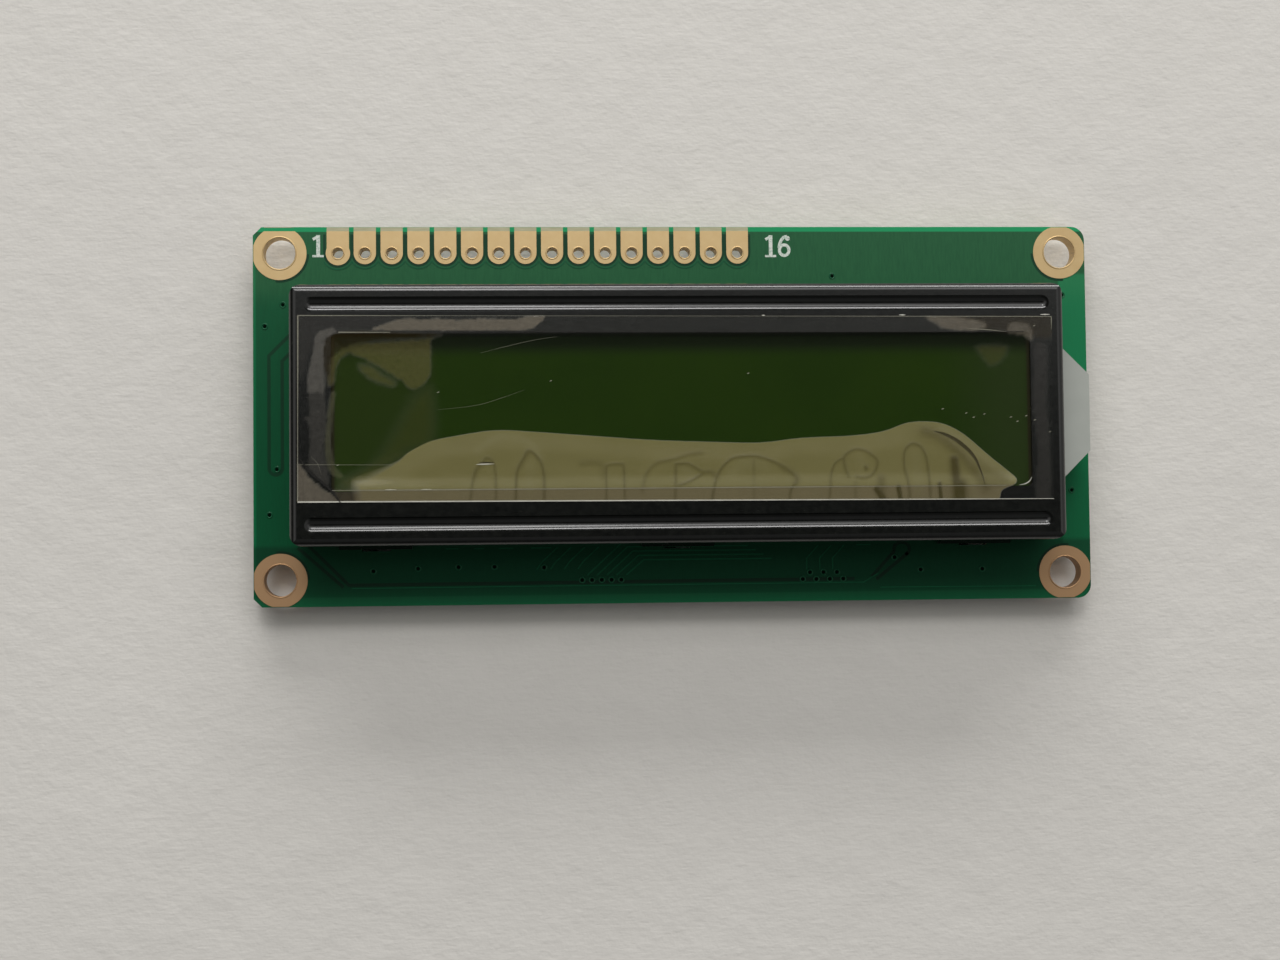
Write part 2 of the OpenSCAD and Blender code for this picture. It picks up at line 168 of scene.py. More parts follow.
class Graph:
    """A node tree, written as expressions."""

    def __init__(self, tree):
        self.tree = tree
        self._place = None

    def _feed(self, socket, value):
        if isinstance(value, Term):
            self.tree.links.new(value.socket, socket)
        elif isinstance(value, (tuple, list)) and len(value) == 3 and socket.type == "RGBA":
            socket.default_value = (*value, 1.0)
        else:
            socket.default_value = value

    def node(self, kind, settings=None, out=0, **inputs):
        """Any node: its settings first, then its sockets by name or by number."""
        made = self.tree.nodes.new("ShaderNode" + kind)
        for key, value in (settings or {}).items():
            setattr(made, key, value)
        for key, value in inputs.items():
            at = int(key[1:]) if key[0] == "_" else key.replace("_", " ")
            self._feed(made.inputs[at], value)
        return Term(self, made.outputs[out])

    def math(self, operation, *terms):
        named = {f"_{i}": term for i, term in enumerate(terms)}
        return self.node("Math", {"operation": operation}, **named)

    def scale(self, vector, by):
        return self.node("VectorMath", {"operation": "SCALE"}, _0=vector, Scale=by)

    def split(self, vector):
        return [self.node("SeparateXYZ", out=i, Vector=vector) for i in range(3)]

    def ramp(self, value, low, high):
        """0 below low, 1 above high, smooth between; low may be the larger."""
        kind = {"interpolation_type": "SMOOTHSTEP"}
        if low <= high:
            return self.node("MapRange", kind, Value=value, From_Min=low, From_Max=high)
        return self.node("MapRange", kind, Value=value, From_Min=high, From_Max=low,
                         To_Min=1.0, To_Max=0.0)

    def mix(self, first, second, factor):
        return self.node("Mix", {"data_type": "RGBA"}, out=2, _0=factor, _6=first, _7=second)


class Finish(Graph):
    """One material: a Principled shader and the nodes that vary it."""

    def __init__(self, name, colour, rough, **fixed):
        self.material = bpy.data.materials.new(name)
        self.material.use_nodes = True
        super().__init__(self.material.node_tree)
        self.shader = self.tree.nodes["Principled BSDF"]
        self.set(Base_Color=(*colour, 1.0), Roughness=rough, **fixed)

    def set(self, **inputs):
        for key, value in inputs.items():
            self._feed(self.shader.inputs[key.replace("_", " ")], value)

    def place(self):
        """Object coordinates in millimetres."""
        if self._place is None:
            self._place = self.scale(self.node("TexCoord", out="Object"), 1 / MM)
        return self._place

    def axes(self):
        return self.split(self.place())

    def normal_z(self):
        return self.split(self.node("NewGeometry", out="Normal"))[2]

    def noise(self, scale, detail=2.0, stretch=(1, 1, 1), rough=0.5):
        """Noise about 0.5, with its features 1/scale millimetres across."""
        at = self.node("Mapping", Vector=self.place(), Scale=tuple(stretch))
        return self.node("TexNoise", Vector=at, Scale=scale, Detail=detail, Roughness=rough)

    def bump(self, height, distance, strength=1.0):
        """Raises the surface by height times distance, in millimetres."""
        self.set(Normal=self.node("Bump", Height=height, Distance=distance * MM, Strength=strength))


def dress(node, finish):
    """Gives a CAD node its finish."""
    slots = NODES[node].material_slots
    for slot in slots:
        slot.material = finish.material
    if not slots:
        NODES[node].data.materials.append(finish.material)


# ---- mesh helpers

def mesh_object(mesh, name, finish):
    data = bpy.data.meshes.new(name)
    mesh.to_mesh(data)
    mesh.free()
    data.materials.append(finish.material)
    return new_object(name, data)


def finish_piece(mesh, name, finish, smooth=False):
    """Places a bmesh drawn in millimetres as one piece that rides on the part."""
    bmesh.ops.scale(mesh, vec=(MM, MM, MM), verts=mesh.verts)
    bmesh.ops.recalc_face_normals(mesh, faces=mesh.faces)
    for face in mesh.faces:
        face.smooth = smooth
    piece = mesh_object(mesh, name, finish)
    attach(piece, "root")
    return piece


def thicken(mesh, faces, rise):
    grown = bmesh.ops.extrude_face_region(mesh, geom=faces)
    moved = [v for v in grown["geom"] if isinstance(v, bmesh.types.BMVert)]
    bmesh.ops.translate(mesh, vec=(0, 0, rise), verts=moved)


def raise_plate(mesh, outline, low, high):
    """A flat plate: the outline's face at one height, drawn up to another."""
    face = mesh.faces.new([mesh.verts.new((x, y, low)) for x, y in outline])
    thicken(mesh, [face], high - low)


def ribbon_outline(path, width):
    """The outline of a stroke of one width along a path, mitred at its corners."""
    left, right = [], []
    for i, point in enumerate(path):
        before = Vector(point) - Vector(path[i - 1]) if i else None
        after = Vector(path[i + 1]) - Vector(point) if i + 1 < len(path) else None
        sides = [v.normalized().orthogonal() for v in (before, after) if v is not None]
        side = sum(sides, Vector((0, 0))) / len(sides)
        side *= width / 2 / side.length_squared
        left.append(Vector(point) + side)
        right.append(Vector(point) - side)
    return left + right[::-1]


def add_ribbon(mesh, path, width, low, high):
    raise_plate(mesh, ribbon_outline([Vector(p) for p in path], width), low, high)


def arc(cx, cy, rx, ry, start, end, steps=14):
    turns = [math.radians(start + (end - start) * i / steps) for i in range(steps + 1)]
    return [(cx + rx * math.cos(t), cy + ry * math.sin(t)) for t in turns]


def add_disc(mesh, x, y, radius, low, high, sides):
    bmesh.ops.create_cone(
        mesh, cap_ends=True, segments=sides, radius1=radius, radius2=radius,
        depth=high - low, matrix=Matrix.Translation((x, y, (low + high) / 2)))


def add_ring(mesh, x, y, radius, thick, z, sides=48, around=10):
    """A rounded ring lying flat: a small circle turned about its axis."""
    start = bmesh.ops.create_circle(
        mesh, segments=around, radius=thick,
        matrix=Matrix.Translation((x + radius, y, z)) @ Matrix.Rotation(math.pi / 2, 4, "X"))
    edges = {e for v in start["verts"] for e in v.link_edges}
    bmesh.ops.spin(mesh, geom=list(start["verts"]) + list(edges), cent=(x, y, z), axis=(0, 0, 1),
                   angle=math.tau, steps=sides, use_merge=True)


# ---- finishes

GREEN_OVER_COPPER = (0.015, 0.104, 0.039)
GREEN_OVER_TRACK = (0.0006, 0.082, 0.029)
GREEN_ON_LAMINATE = (0.0003, 0.044, 0.016)
GREEN_AT_EDGE = (0.006, 0.29, 0.105)
LAMINATE = (0.36, 0.34, 0.19)


def painted_bezel_shade(finish):
    """1 on the strip of board below the bezel, where painted shade of the bezel darkens the lacquer."""
    y = finish.axes()[1]
    return finish.ramp(y, -12.0, -12.6) * finish.ramp(y, -18.4, -16.4)


def lacquer_on_board():
    """Green lacquer over copper, brighter along the rims, where only laminate is under it; how bright each
    rim is, the dimming of the right rim toward its lower end and the dark strip below the bezel are painted
    light and shade.
    """
    finish = Finish("solder_mask", GREEN_OVER_COPPER, 0.5, Coat_Weight=0.4, Coat_Roughness=0.05,
                    Specular_IOR_Level=0.15)
    x, y, _ = finish.axes()
    cloud = finish.noise(0.25, 3.0)
    grain = finish.noise(9.0, 2.0)
    weave = finish.noise(2.2, 2.0, stretch=(3.0, 0.4, 1))
    pour = finish.mix(GREEN_OVER_TRACK, GREEN_OVER_COPPER, finish.ramp(y, 10.0, 13.0))
    pour = finish.mix(pour, (0.0012, 0.05, 0.019), (weave - 0.35).clamp() * 0.7)
    upper = finish.ramp(HALF_W - y, 0.5, 0.4)
    right = finish.ramp(HALF_L - x, 2.75, 2.55) * finish.ramp(y, 13.6, 13.2)
    lower = finish.ramp(HALF_W + y, 0.95, 0.8)
    left = finish.ramp(HALF_L + x, 0.35, 0.15)
    # The rims are bare laminate; their strengths, strongest at the top and weakest at the bottom, and the
    # right rim's dimming toward its lower end are painted light and shade.
    shaded_low_right = finish.ramp(y, -4.0, -9.0)
    rim = upper.max(right * (0.4 - shaded_low_right * 0.24)).max(lower * 0.1).max(left * 0.3)
    lit = finish.mix(pour, GREEN_AT_EDGE, rim)
    side = finish.ramp(abs(finish.normal_z()), 0.7, 0.5)
    fibres = finish.noise(3.0, 3.0, stretch=(0.6, 0.6, 7.0))
    cut = finish.mix((0.12, 0.2, 0.06), LAMINATE, fibres)
    bare = upper.max(right).max(lower).max(side)
    # The strip below the bezel is darkened: painted shade of the bezel.
    lit = finish.mix(lit, (0.0004, 0.026, 0.011), painted_bezel_shade(finish) * 0.62)
    finish.set(Base_Color=finish.mix(lit, cut, side), Roughness=0.44 + side * 0.2 + grain * 0.06,
               Metallic=(1.0 - bare) * 0.25)
    finish.bump(grain * 0.4 + cloud + weave * 0.3, 0.012, 0.6)
    return finish


def lacquer_on_track(name, colour, metal):
    """The same lacquer on one track, or in the gap beside it."""
    finish = Finish(name, colour, 0.45, Coat_Weight=0.4, Coat_Roughness=0.05, Specular_IOR_Level=0.15,
                    Metallic=metal)
    tone = finish.mix(tuple(c * 0.75 for c in colour), colour, finish.noise(0.8, 3.0))
    # Darker on the strip below the bezel: painted shade of the bezel.
    bezel_shade_depth = painted_bezel_shade(finish) * (0.55 - metal * 2.0)
    finish.set(Base_Color=finish.mix(tone, (0.0, 0.006, 0.0025), bezel_shade_depth))
    finish.bump(finish.noise(9.0, 2.0), 0.01, 0.5)
    return finish


def black_paint():
    """Gloss black enamel on pressed steel, dusty, with a painted greenish-grey highlight where the lower
    feet meet the board.
    """
    finish = Finish("black_enamel", (0.003, 0.0034, 0.003), 0.18, Specular_IOR_Level=0.65)
    dust = finish.noise(1.6, 4.0, rough=0.7)
    orange_peel = finish.noise(2.4, 1.0)
    specks = finish.ramp(finish.noise(7.0, 1.0), 0.75, 0.8)
    tone = finish.mix((0.0018, 0.0022, 0.0018), (0.0058, 0.0066, 0.0048), (dust - 0.35).clamp() * 1.6)
    tone = finish.mix(tone, (0.09, 0.09, 0.08), specks * 0.3)
    _, y, z = finish.axes()
    # Where the lower feet meet the board: a painted highlight, lighter and greener than the enamel.
    foot_glint = finish.ramp(z, BOARD_TOP + 0.7, BOARD_TOP + 0.45) * finish.ramp(y, -12.2, -12.38)
    finish.set(Base_Color=finish.mix(tone, (0.03, 0.042, 0.036), foot_glint),
               Roughness=0.12 + dust * 0.12 + foot_glint * 0.3)
    finish.bump(orange_peel + dust * 0.4, 0.01, 0.3)
    return finish


def gold_plating():
    """Flash gold over copper, slightly uneven, browner and darker toward the lower edge with painted shade.
    """
    finish = Finish("gold_plating", (0.8, 0.58, 0.3), 0.45, Metallic=0.8, Specular_IOR_Level=0.5)
    y = finish.axes()[1]
    wash = finish.noise(1.1, 3.0)
    grain = finish.noise(14.0, 2.0)
    tone = finish.mix((0.65, 0.49, 0.26), (0.58, 0.41, 0.2), wash)
    # Browner and darker toward the lower edge: painted shade.
    varied_mix = finish.mix((0.47, 0.29, 0.155), tone, finish.ramp(y, -12.0, 10.0))
    finish.set(Base_Color=varied_mix, Roughness=0.4 + grain * 0.14)
    finish.bump(grain, 0.004, 0.5)
    return finish


def bright_metal(name, colour, rough):
    finish = Finish(name, colour, rough, Metallic=1.0)
    grain = finish.noise(8.0, 3.0)
    finish.set(Roughness=rough + grain * 0.15)
    finish.bump(grain, 0.006, 0.4)
    return finish


def display_face():
    """The dark green screen: darker under the window's upper edge with painted shade, olive to the left and
    the right.
    """
    finish = Finish("display_face", (0.013, 0.028, 0.003), 0.25, Specular_IOR_Level=0.05)
    x, y, _ = finish.axes()
    cloud = finish.noise(0.1, 2.0, stretch=(1, 1.6, 1))
    fine = finish.noise(5.0, 2.0, stretch=(1.0, 0.3, 1))
    tone = finish.mix((0.0105, 0.0255, 0.0028), (0.016, 0.0345, 0.0032), cloud)
    left = finish.ramp(x, -22.1, -23.1)
    tone = finish.mix(tone, (0.0185, 0.032, 0.0058), left * 0.75)
    tone = finish.mix(tone, (0.024, 0.035, 0.013), finish.ramp(x, 23.0, 31.5) * 0.55)
    # Darker under the window's upper edge: painted shade of the bezel.
    tone = finish.mix(tone, (0.0075, 0.011, 0.0052), finish.ramp(y, 4.6, 6.1) * 0.9)
    step = finish.ramp(abs(x - 0.3), 31.9, 32.15)
    tone = finish.mix(tone, (0.022, 0.019, 0.01), step * 0.9)
    finish.set(Base_Color=tone, Roughness=0.2 + fine * 0.08)
    finish.bump(fine, 0.003, 0.3)
    return finish


def plain_plastic(name, colour, rough, grain_scale=5.0, spread=0.25):
    """A moulded or rolled plastic with a faint grain and uneven tone."""
    finish = Finish(name, colour, rough)
    grain = finish.noise(grain_scale, 3.0)
    dull = tuple(c * (1 - spread) for c in colour)
    finish.set(Base_Color=finish.mix(dull, colour, finish.noise(grain_scale / 6, 2.0)),
               Roughness=rough + (grain - 0.5) * 0.15)
    finish.bump(grain, 0.008, 0.4)
    return finish


def striped_rubber():
    """Contact strip: thin dark layers across its length in pale rubber."""
    finish = Finish("striped_rubber", (0.25, 0.25, 0.25), 0.7)
    x = finish.axes()[0]
    stripe = finish.ramp(finish.math("SINE", x * 40.0), -0.2, 0.2)
    finish.set(Base_Color=finish.mix((0.02, 0.02, 0.02), (0.42, 0.42, 0.4), stripe))
    return finish


def chip_finish(name, body):
    """A surface-mounted part's ceramic or film body, its tone a little mottled."""
    finish = Finish(name, body, 0.5)
    mottle = finish.noise(3.5, 3.0)
    finish.set(Base_Color=finish.mix(tuple(c * 0.6 for c in body), body, mottle))
    finish.bump(mottle, 0.01, 0.5)
    return finish


def resin():
    """Black potting resin: glossy, with low waves and a few pinholes."""
    finish = Finish("potting_resin", (0.012, 0.012, 0.013), 0.3)
    wave = finish.noise(0.35, 2.0)
    pits = finish.ramp(finish.noise(2.2, 1.0), 0.72, 0.78)
    finish.set(Roughness=0.24 + wave * 0.2 + pits * 0.3)
    finish.bump(wave * 6.0 - pits, 0.03, 0.7)
    return finish


def ink():
    """White legend ink, thin and a little ragged."""
    finish = Finish("legend_ink", (0.55, 0.62, 0.54), 0.6)
    blot = finish.noise(6.0, 3.0)
    finish.set(Base_Color=finish.mix((0.34, 0.46, 0.38), (0.66, 0.7, 0.64), finish.ramp(blot, 0.3, 0.6)))
    finish.bump(blot, 0.01, 0.5)
    return finish


def bare_laminate():
    finish = Finish("bare_laminate", (0.38, 0.36, 0.22), 0.55)
    weave = finish.noise(2.0, 3.0, stretch=(0.5, 3.0, 1))
    finish.set(Base_Color=finish.mix((0.3, 0.3, 0.17), (0.52, 0.49, 0.33), weave))
    return finish


MASK = lacquer_on_board()
TRACE = lacquer_on_track("solder_mask_over_track", (0.004, 0.105, 0.042), 0.25)
GAP = lacquer_on_track("solder_mask_in_gap", GREEN_ON_LAMINATE, 0.0)
PAINT = black_paint()
GOLD = gold_plating()
SOLDER = bright_metal("solder", (0.62, 0.63, 0.64), 0.28)
TIN = bright_metal("tinned_ends", (0.66, 0.66, 0.65), 0.34)
INK = ink()
LAMINATE_STRIP = bare_laminate()
VIA_SHADE = Finish("via_hole_shade", (0.0015, 0.006, 0.003), 0.6, Specular_IOR_Level=0.0)
RESIN = resin()
WHITE_FILM = plain_plastic("white_film", (0.4, 0.42, 0.385), 0.5, 3.0, 0.12)
GLASS = plain_plastic("cell_glass", (0.55, 0.62, 0.57), 0.08, 1.0, 0.1)

dress("circuit_board", MASK)
dress("bezel", PAINT)
dress("front_polarizer", display_face())
for name in ("front_glass", "rear_glass"):
    dress(name, GLASS)
dress("cell_seal", plain_plastic("seal", (0.3, 0.3, 0.27), 0.6))
dress("liquid_crystal", plain_plastic("crystal", (0.1, 0.13, 0.04), 0.5))
dress("rear_polarizer", plain_plastic("rear_face", (0.2, 0.25, 0.08), 0.4))
for name in ("contact_strip_upper", "contact_strip_lower"):
    dress(name, striped_rubber())
for name in ("diffuser_sheet", "reflector_sheet", "ear_cover"):
    dress(name, WHITE_FILM)
dress("light_guide", plain_plastic("acrylic", (0.62, 0.66, 0.62), 0.15, 2.0, 0.06))
dress("side_lamp", plain_plastic("lamp_resin", (0.78, 0.74, 0.58), 0.4))
for name in ("lamp_lead_1", "lamp_lead_2"):
    dress(name, TIN)
for name in ("lead_solder_1", "lead_solder_2"):
    dress(name, SOLDER)
for name in ("chip_cover_left", "chip_cover_right"):
    dress(name, RESIN)
RESISTOR = chip_finish("resistor_body", (0.022, 0.024, 0.03))
CAPACITOR = chip_finish("capacitor_body", (0.42, 0.27, 0.15))
for name in nodes_named("resistor_"):
    dress(name, RESISTOR)
for name in nodes_named("capacitor_"):
    dress(name, CAPACITOR)
for name in nodes_named("pin_pad_", "corner_pad_"):
    dress(name, GOLD)


# ---- plated rims and bare strips

def make_plated_rims():
    """The rounded rims where the plating turns into each hole, on both faces."""
    mesh = bmesh.new()
    thick, sunk = 0.07, 0.02
    holes = [(x, HOLE_Y, PIN_HOLE) for x, _, _ in pin_pads()]
    holes += [(x, y, CORNER_HOLE) for x, y in CORNERS]
    for x, y, radius in holes:
        for z in (PAD_HIGH.z - sunk, PAD_LOW.z + sunk):
            add_ring(mesh, x, y, radius + thick, thick, z)
    finish_piece(mesh, "plated_rims", GOLD, smooth=True)


def make_bare_strips():
    """Laminate left bare between each pad's end and the board's edge."""
    mesh = bmesh.new()
    edge = HALF_W - 0.02
    strips = [(x, PAD_HIGH.y, 1.05, 1.05) for x, _, _ in pin_pads()]
    strips.append((-HOLE_X, node_box("corner_pad_top_left")[1].y, 1.45, 1.0))
    for x, end, half, outer_half in strips:
        outline = [(x - half, end), (x + half, end), (x + outer_half, edge), (x - half, edge)]
        raise_plate(mesh, outline, BOARD_TOP, BOARD_TOP + STRIP_UP)
    finish_piece(mesh, "bare_strips", LAMINATE_STRIP)


make_plated_rims()
make_bare_strips()


# ---- front traces, holes and legend

def aside(path, offset):
    """The same path moved sideways, to its left where the offset is positive."""
    return [Vector(p) for p in ribbon_outline([Vector(q) for q in path], 2 * offset)[:len(path)]]


LEFT_TRACK = [(-34.6, 8.8), (-37.9, 5.5), (-37.9, -4.9)]
TRACK_HALF = 0.62
TRACK_SIDES = [
    aside(LEFT_TRACK, -TRACK_HALF),
    aside(LEFT_TRACK, TRACK_HALF),
    arc(*LEFT_TRACK[-1], TRACK_HALF, TRACK_HALF, 180, 360, 10),
    [(-35.9, -12.4), (-31.6, -16.2)],
    [(-34.9, -12.2), (-31.1, -16.0), (17.0, -15.9)],
    [(20.9, -13.3), (18.7, -15.7)],
    [(22.2, -13.5), (19.1, -16.0)],
    arc(21.6, -13.1, 0.75, 0.65, -60, 200, 10),
]


def make_gaps():
    """The clear lines beside a wide track, and the ring of clearance round each pad."""
    mesh = bmesh.new()
    clear, corner_clear, edge = 0.12, 2.68, HALF_W - 0.7
    low, high = BOARD_TOP, BOARD_TOP + GAP_UP
    for path in TRACK_SIDES:
        add_ribbon(mesh, path, 0.32, low, high)
    for i, (x, end, radius) in enumerate(pin_pads(), 1):
        out = radius + clear
        around = arc(x, end + radius, out, out, 180, 360, 20)
        path = [(x - out, edge)] + around + [(x + out, edge)]
        add_ribbon(mesh, path, 0.22, low, high - 0.002 * (i % 2))
    for (x, y), start in zip(CORNERS, (2, 262, 82, 182)):
        ring = arc(x, y, corner_clear, corner_clear, start, start + 96, 24)
        add_ribbon(mesh, ring, 0.22, low, high)
    finish_piece(mesh, "copper_gaps", GAP)


def make_front_traces():
    """Narrow tracks under the lacquer, and the edges of the copper that catch the light."""
    mesh = bmesh.new()
    low, high = BOARD_TOP, BOARD_TOP + TRACE_UP
    for x, end, radius in pin_pads():
        out = radius + 0.4
        add_ribbon(mesh, arc(x, end + radius, out, out, 212, 328), 0.1, low, high)
    for i in range(5):
        x = -8.6 + 0.93 * i
        rise = 3.35 - 0.42 * i
        y = -15.55 + rise
        add_ribbon(mesh, [(x, -15.3), (x + rise, y), (6.0 + 0.75 * i, y)], 0.13, low, high)
    for i in range(4):
        x = -13.4 + 1.3 * i
        add_ribbon(mesh, [(x, -14.7), (x + 0.5, -14.0), (x + 2.0, -12.6)], 0.11, low, high)
    for i in range(3):
        x = 12.4 + 1.25 * i
        add_ribbon(mesh, [(x, -15.0), (x, -13.9), (x + 1.1, -12.7)], 0.11, low, high)
    for x0, x1 in ((-22.0, -20.8), (-19.3, -18.4), (-17.0, -15.6), (-13.9, -12.0), (17.2, 18.6)):
        add_ribbon(mesh, [(x0, -12.65), (x1, -12.65)], 0.12, low, high)
    add_ribbon(mesh, [(-30.8, -16.3), (17.9, -16.25), (19.3, -15.4)], 0.09, low, high)
    add_ribbon(mesh, [(19.5, -16.75), (34.6, -16.8)], 0.09, low, high)
    finish_piece(mesh, "front_traces", TRACE)


VIA_RADIUS = 0.16
FRONT_HOLES = [
    (-37.2, 10.6), (-38.9, 8.55), (-37.8, -5.0), (-38.5, -9.3), (15.25, 13.25), (37.7, 11.35),
    (38.3, -7.6), (-28.8, -14.7), (-24.6, -14.5), (-20.8, -14.4), (-17.4, -14.4), (-12.7, -14.5),
    (23.4, -15.1), (29.4, -15.1), (20.9, -13.9),
] + [(-9.1 + 0.93 * i, -15.75) for i in range(5)] + [
    (12.0 + 1.3 * i, -15.9) for i in range(4)] + [(12.7 + 1.3 * i, -15.25) for i in range(3)]


def make_holes(name, places, z, up):
    """Small plated holes under the lacquer: a low collar with a dark middle, painted shade for the inside of
    the hole.
    """
    collars, shaded_middles = bmesh.new(), bmesh.new()
    low, high = sorted((z - 0.01 * up, z + 0.015 * up))
    for x, y in places:
        add_ring(collars, x, y, VIA_RADIUS + 0.1, 0.06, z, sides=18, around=6)
        # The dark disc in the middle is painted shade for the inside of the hole.
        add_disc(shaded_middles, x, y, VIA_RADIUS, low, high, sides=14)
    finish_piece(collars, name + "_collars", TRACE, smooth=True)
    finish_piece(shaded_middles, name + "_middles", VIA_SHADE)


def numeral_one(x, y, size):
    """A figure one with a slab foot: its strokes and their weights, for a height of one."""
    strokes = [([(0.02, -0.5), (0.02, 0.5)], 0.17), ([(0.02, 0.43), (-0.22, 0.3)], 0.13),
               ([(-0.24, -0.46), (0.27, -0.46)], 0.1)]
    return [([(x + a * size, y + b * size) for a, b in path], weight) for path, weight in strokes]


def numeral_six(x, y, size):
    """A figure six: the round bowl and the tail that curls over it."""
    bowl = arc(x, y - 0.19 * size, 0.22 * size, 0.245 * size, 0, 360, 28)
    tail = arc(x + 0.12 * size, y - 0.12 * size, 0.35 * size, 0.56 * size, 178, 88, 12)
    ball = arc(x + 0.16 * size, y + 0.35 * size, 0.05 * size, 0.05 * size, 0, 360, 10)
    return [(bowl, 0.14), (tail, 0.14), (ball, 0.12)]


def make_numbers():
    """Pin numbers beside the first and the last pin."""
    mesh = bmesh.new()
    size = 2.1
    strokes = numeral_one(-33.9, 16.2, size)
    strokes += numeral_one(9.3, 16.15, size) + numeral_six(10.65, 16.15, size)
    for i, (path, weight) in enumerate(strokes):
        add_ribbon(mesh, path, weight * size, BOARD_TOP, BOARD_TOP + INK_UP + 0.0012 * (i % 5))
    finish_piece(mesh, "pin_numbers", INK)


make_gaps()
make_front_traces()
make_holes("front_holes", FRONT_HOLES, BOARD_TOP, 1)
make_numbers()


# ---- protective film

FILM_PITCH = 0.165
FILM_L = 69.7
FILM_W = 17.1
FILM_SHEET = 0.05
FILM_CLEAR = 0.012
LINE_UP = 0.012
LINE_SHEET = 0.01
FILM_TURN = Matrix.Rotation(math.radians(-0.25), 2)
FILM_CENTRE = sum(node_box("protective_film"), Vector()).xy / 2
WINDOW_X, WINDOW_Y = 0.3, -0.2
WINDOW_HALF_L, WINDOW_HALF_W = 32.3, 7.2
# Beyond this, how far a place lies from a mark no longer matters.
REACH = 2.0

KHAKI = (0.25, 0.224, 0.083)
BEIGE = (0.32, 0.28, 0.215)
GREY = (0.285, 0.268, 0.235)
CLEAR = (0.34, 0.345, 0.3)


def smooth_step(value, low, high):
    t = min(1.0, max(0.0, (value - low) / (high - low)))
    return t * t * (3 - 2 * t)


def flowing(points, closed=False, steps=5):
    """A curve through a few points, drawn as short straight pieces."""
    count = len(points)
    knots = [Vector(p) for p in points]
    if closed:
        knots = [knots[-1]] + knots + knots[:2]
    else:
        knots = [2 * knots[0] - knots[1]] + knots + [2 * knots[-1] - knots[-2]]
    line = []
    for i in range(1, count + (1 if closed else 0)):
        a, b, c, d = knots[i - 1:i + 3]
        for k in range(steps):
            t = k / steps
            line.append(0.5 * (2 * b + (c - a) * t + (2 * a - 5 * b + 4 * c - d) * t ** 2
                               + (3 * b - a - 3 * c + d) * t ** 3))
    return line if closed else line + [knots[-2]]


class Mark:
    """A shape on the film: how far any place lies from its outline or its line."""

    def __init__(self, points, closed):
        self.line = flowing(points, closed)
        self.closed = closed
        if closed:
            self.line.append(self.line[0])
        across, along = zip(*self.line)
        self.low = Vector((min(across), min(along)))
        self.high = Vector((max(across), max(along)))

    def beyond(self, x, y):
        """Distance outside the box round the shape."""
        return max(self.low.x - x, x - self.high.x, self.low.y - y, y - self.high.y, 0.0)

    def distance(self, x, y):
        """Positive inside an outline and negative outside; along a line always negative."""
        away = self.beyond(x, y)
        if away > REACH:
            return -away
        inside, near = False, 1e9
        for a, b in zip(self.line, self.line[1:]):
            if self.closed and (a.y > y) != (b.y > y):
                inside ^= x < a.x + (y - a.y) * (b.x - a.x) / (b.y - a.y)
            dx, dy = b.x - a.x, b.y - a.y
            t = max(0.0, min(1.0, ((x - a.x) * dx + (y - a.y) * dy) / (dx * dx + dy * dy)))
            near = min(near, math.hypot(x - a.x - t * dx, y - a.y - t * dy))
        return near if inside else -near


# Where the film has come away from the screen, along its lower side.
LOOSE = Mark([
    (-30.1, -6.9), (-29.9, -6.3), (-28.4, -5.7), (-26.1, -4.7), (-24.9, -3.8), (-23.1, -2.9), (-21.3, -2.5),
    (-18.2, -2.0), (-16.3, -1.9), (-14.6, -2.0), (-11.8, -2.2), (-6.7, -2.6), (-2.5, -2.9), (2.7, -3.1),
    (7.2, -3.2), (11.1, -2.8), (16.0, -2.6), (18.8, -2.2), (20.8, -1.5), (22.6, -1.35), (24.4, -1.6),
    (26.3, -2.6), (28.5, -4.5), (30.7, -6.3), (31.1, -6.9), (30.8, -7.3), (29.7, -7.8), (29.2, -8.9),
    (27.0, -9.6), (-27.0, -9.6), (-29.5, -8.9), (-29.9, -7.7)], True)

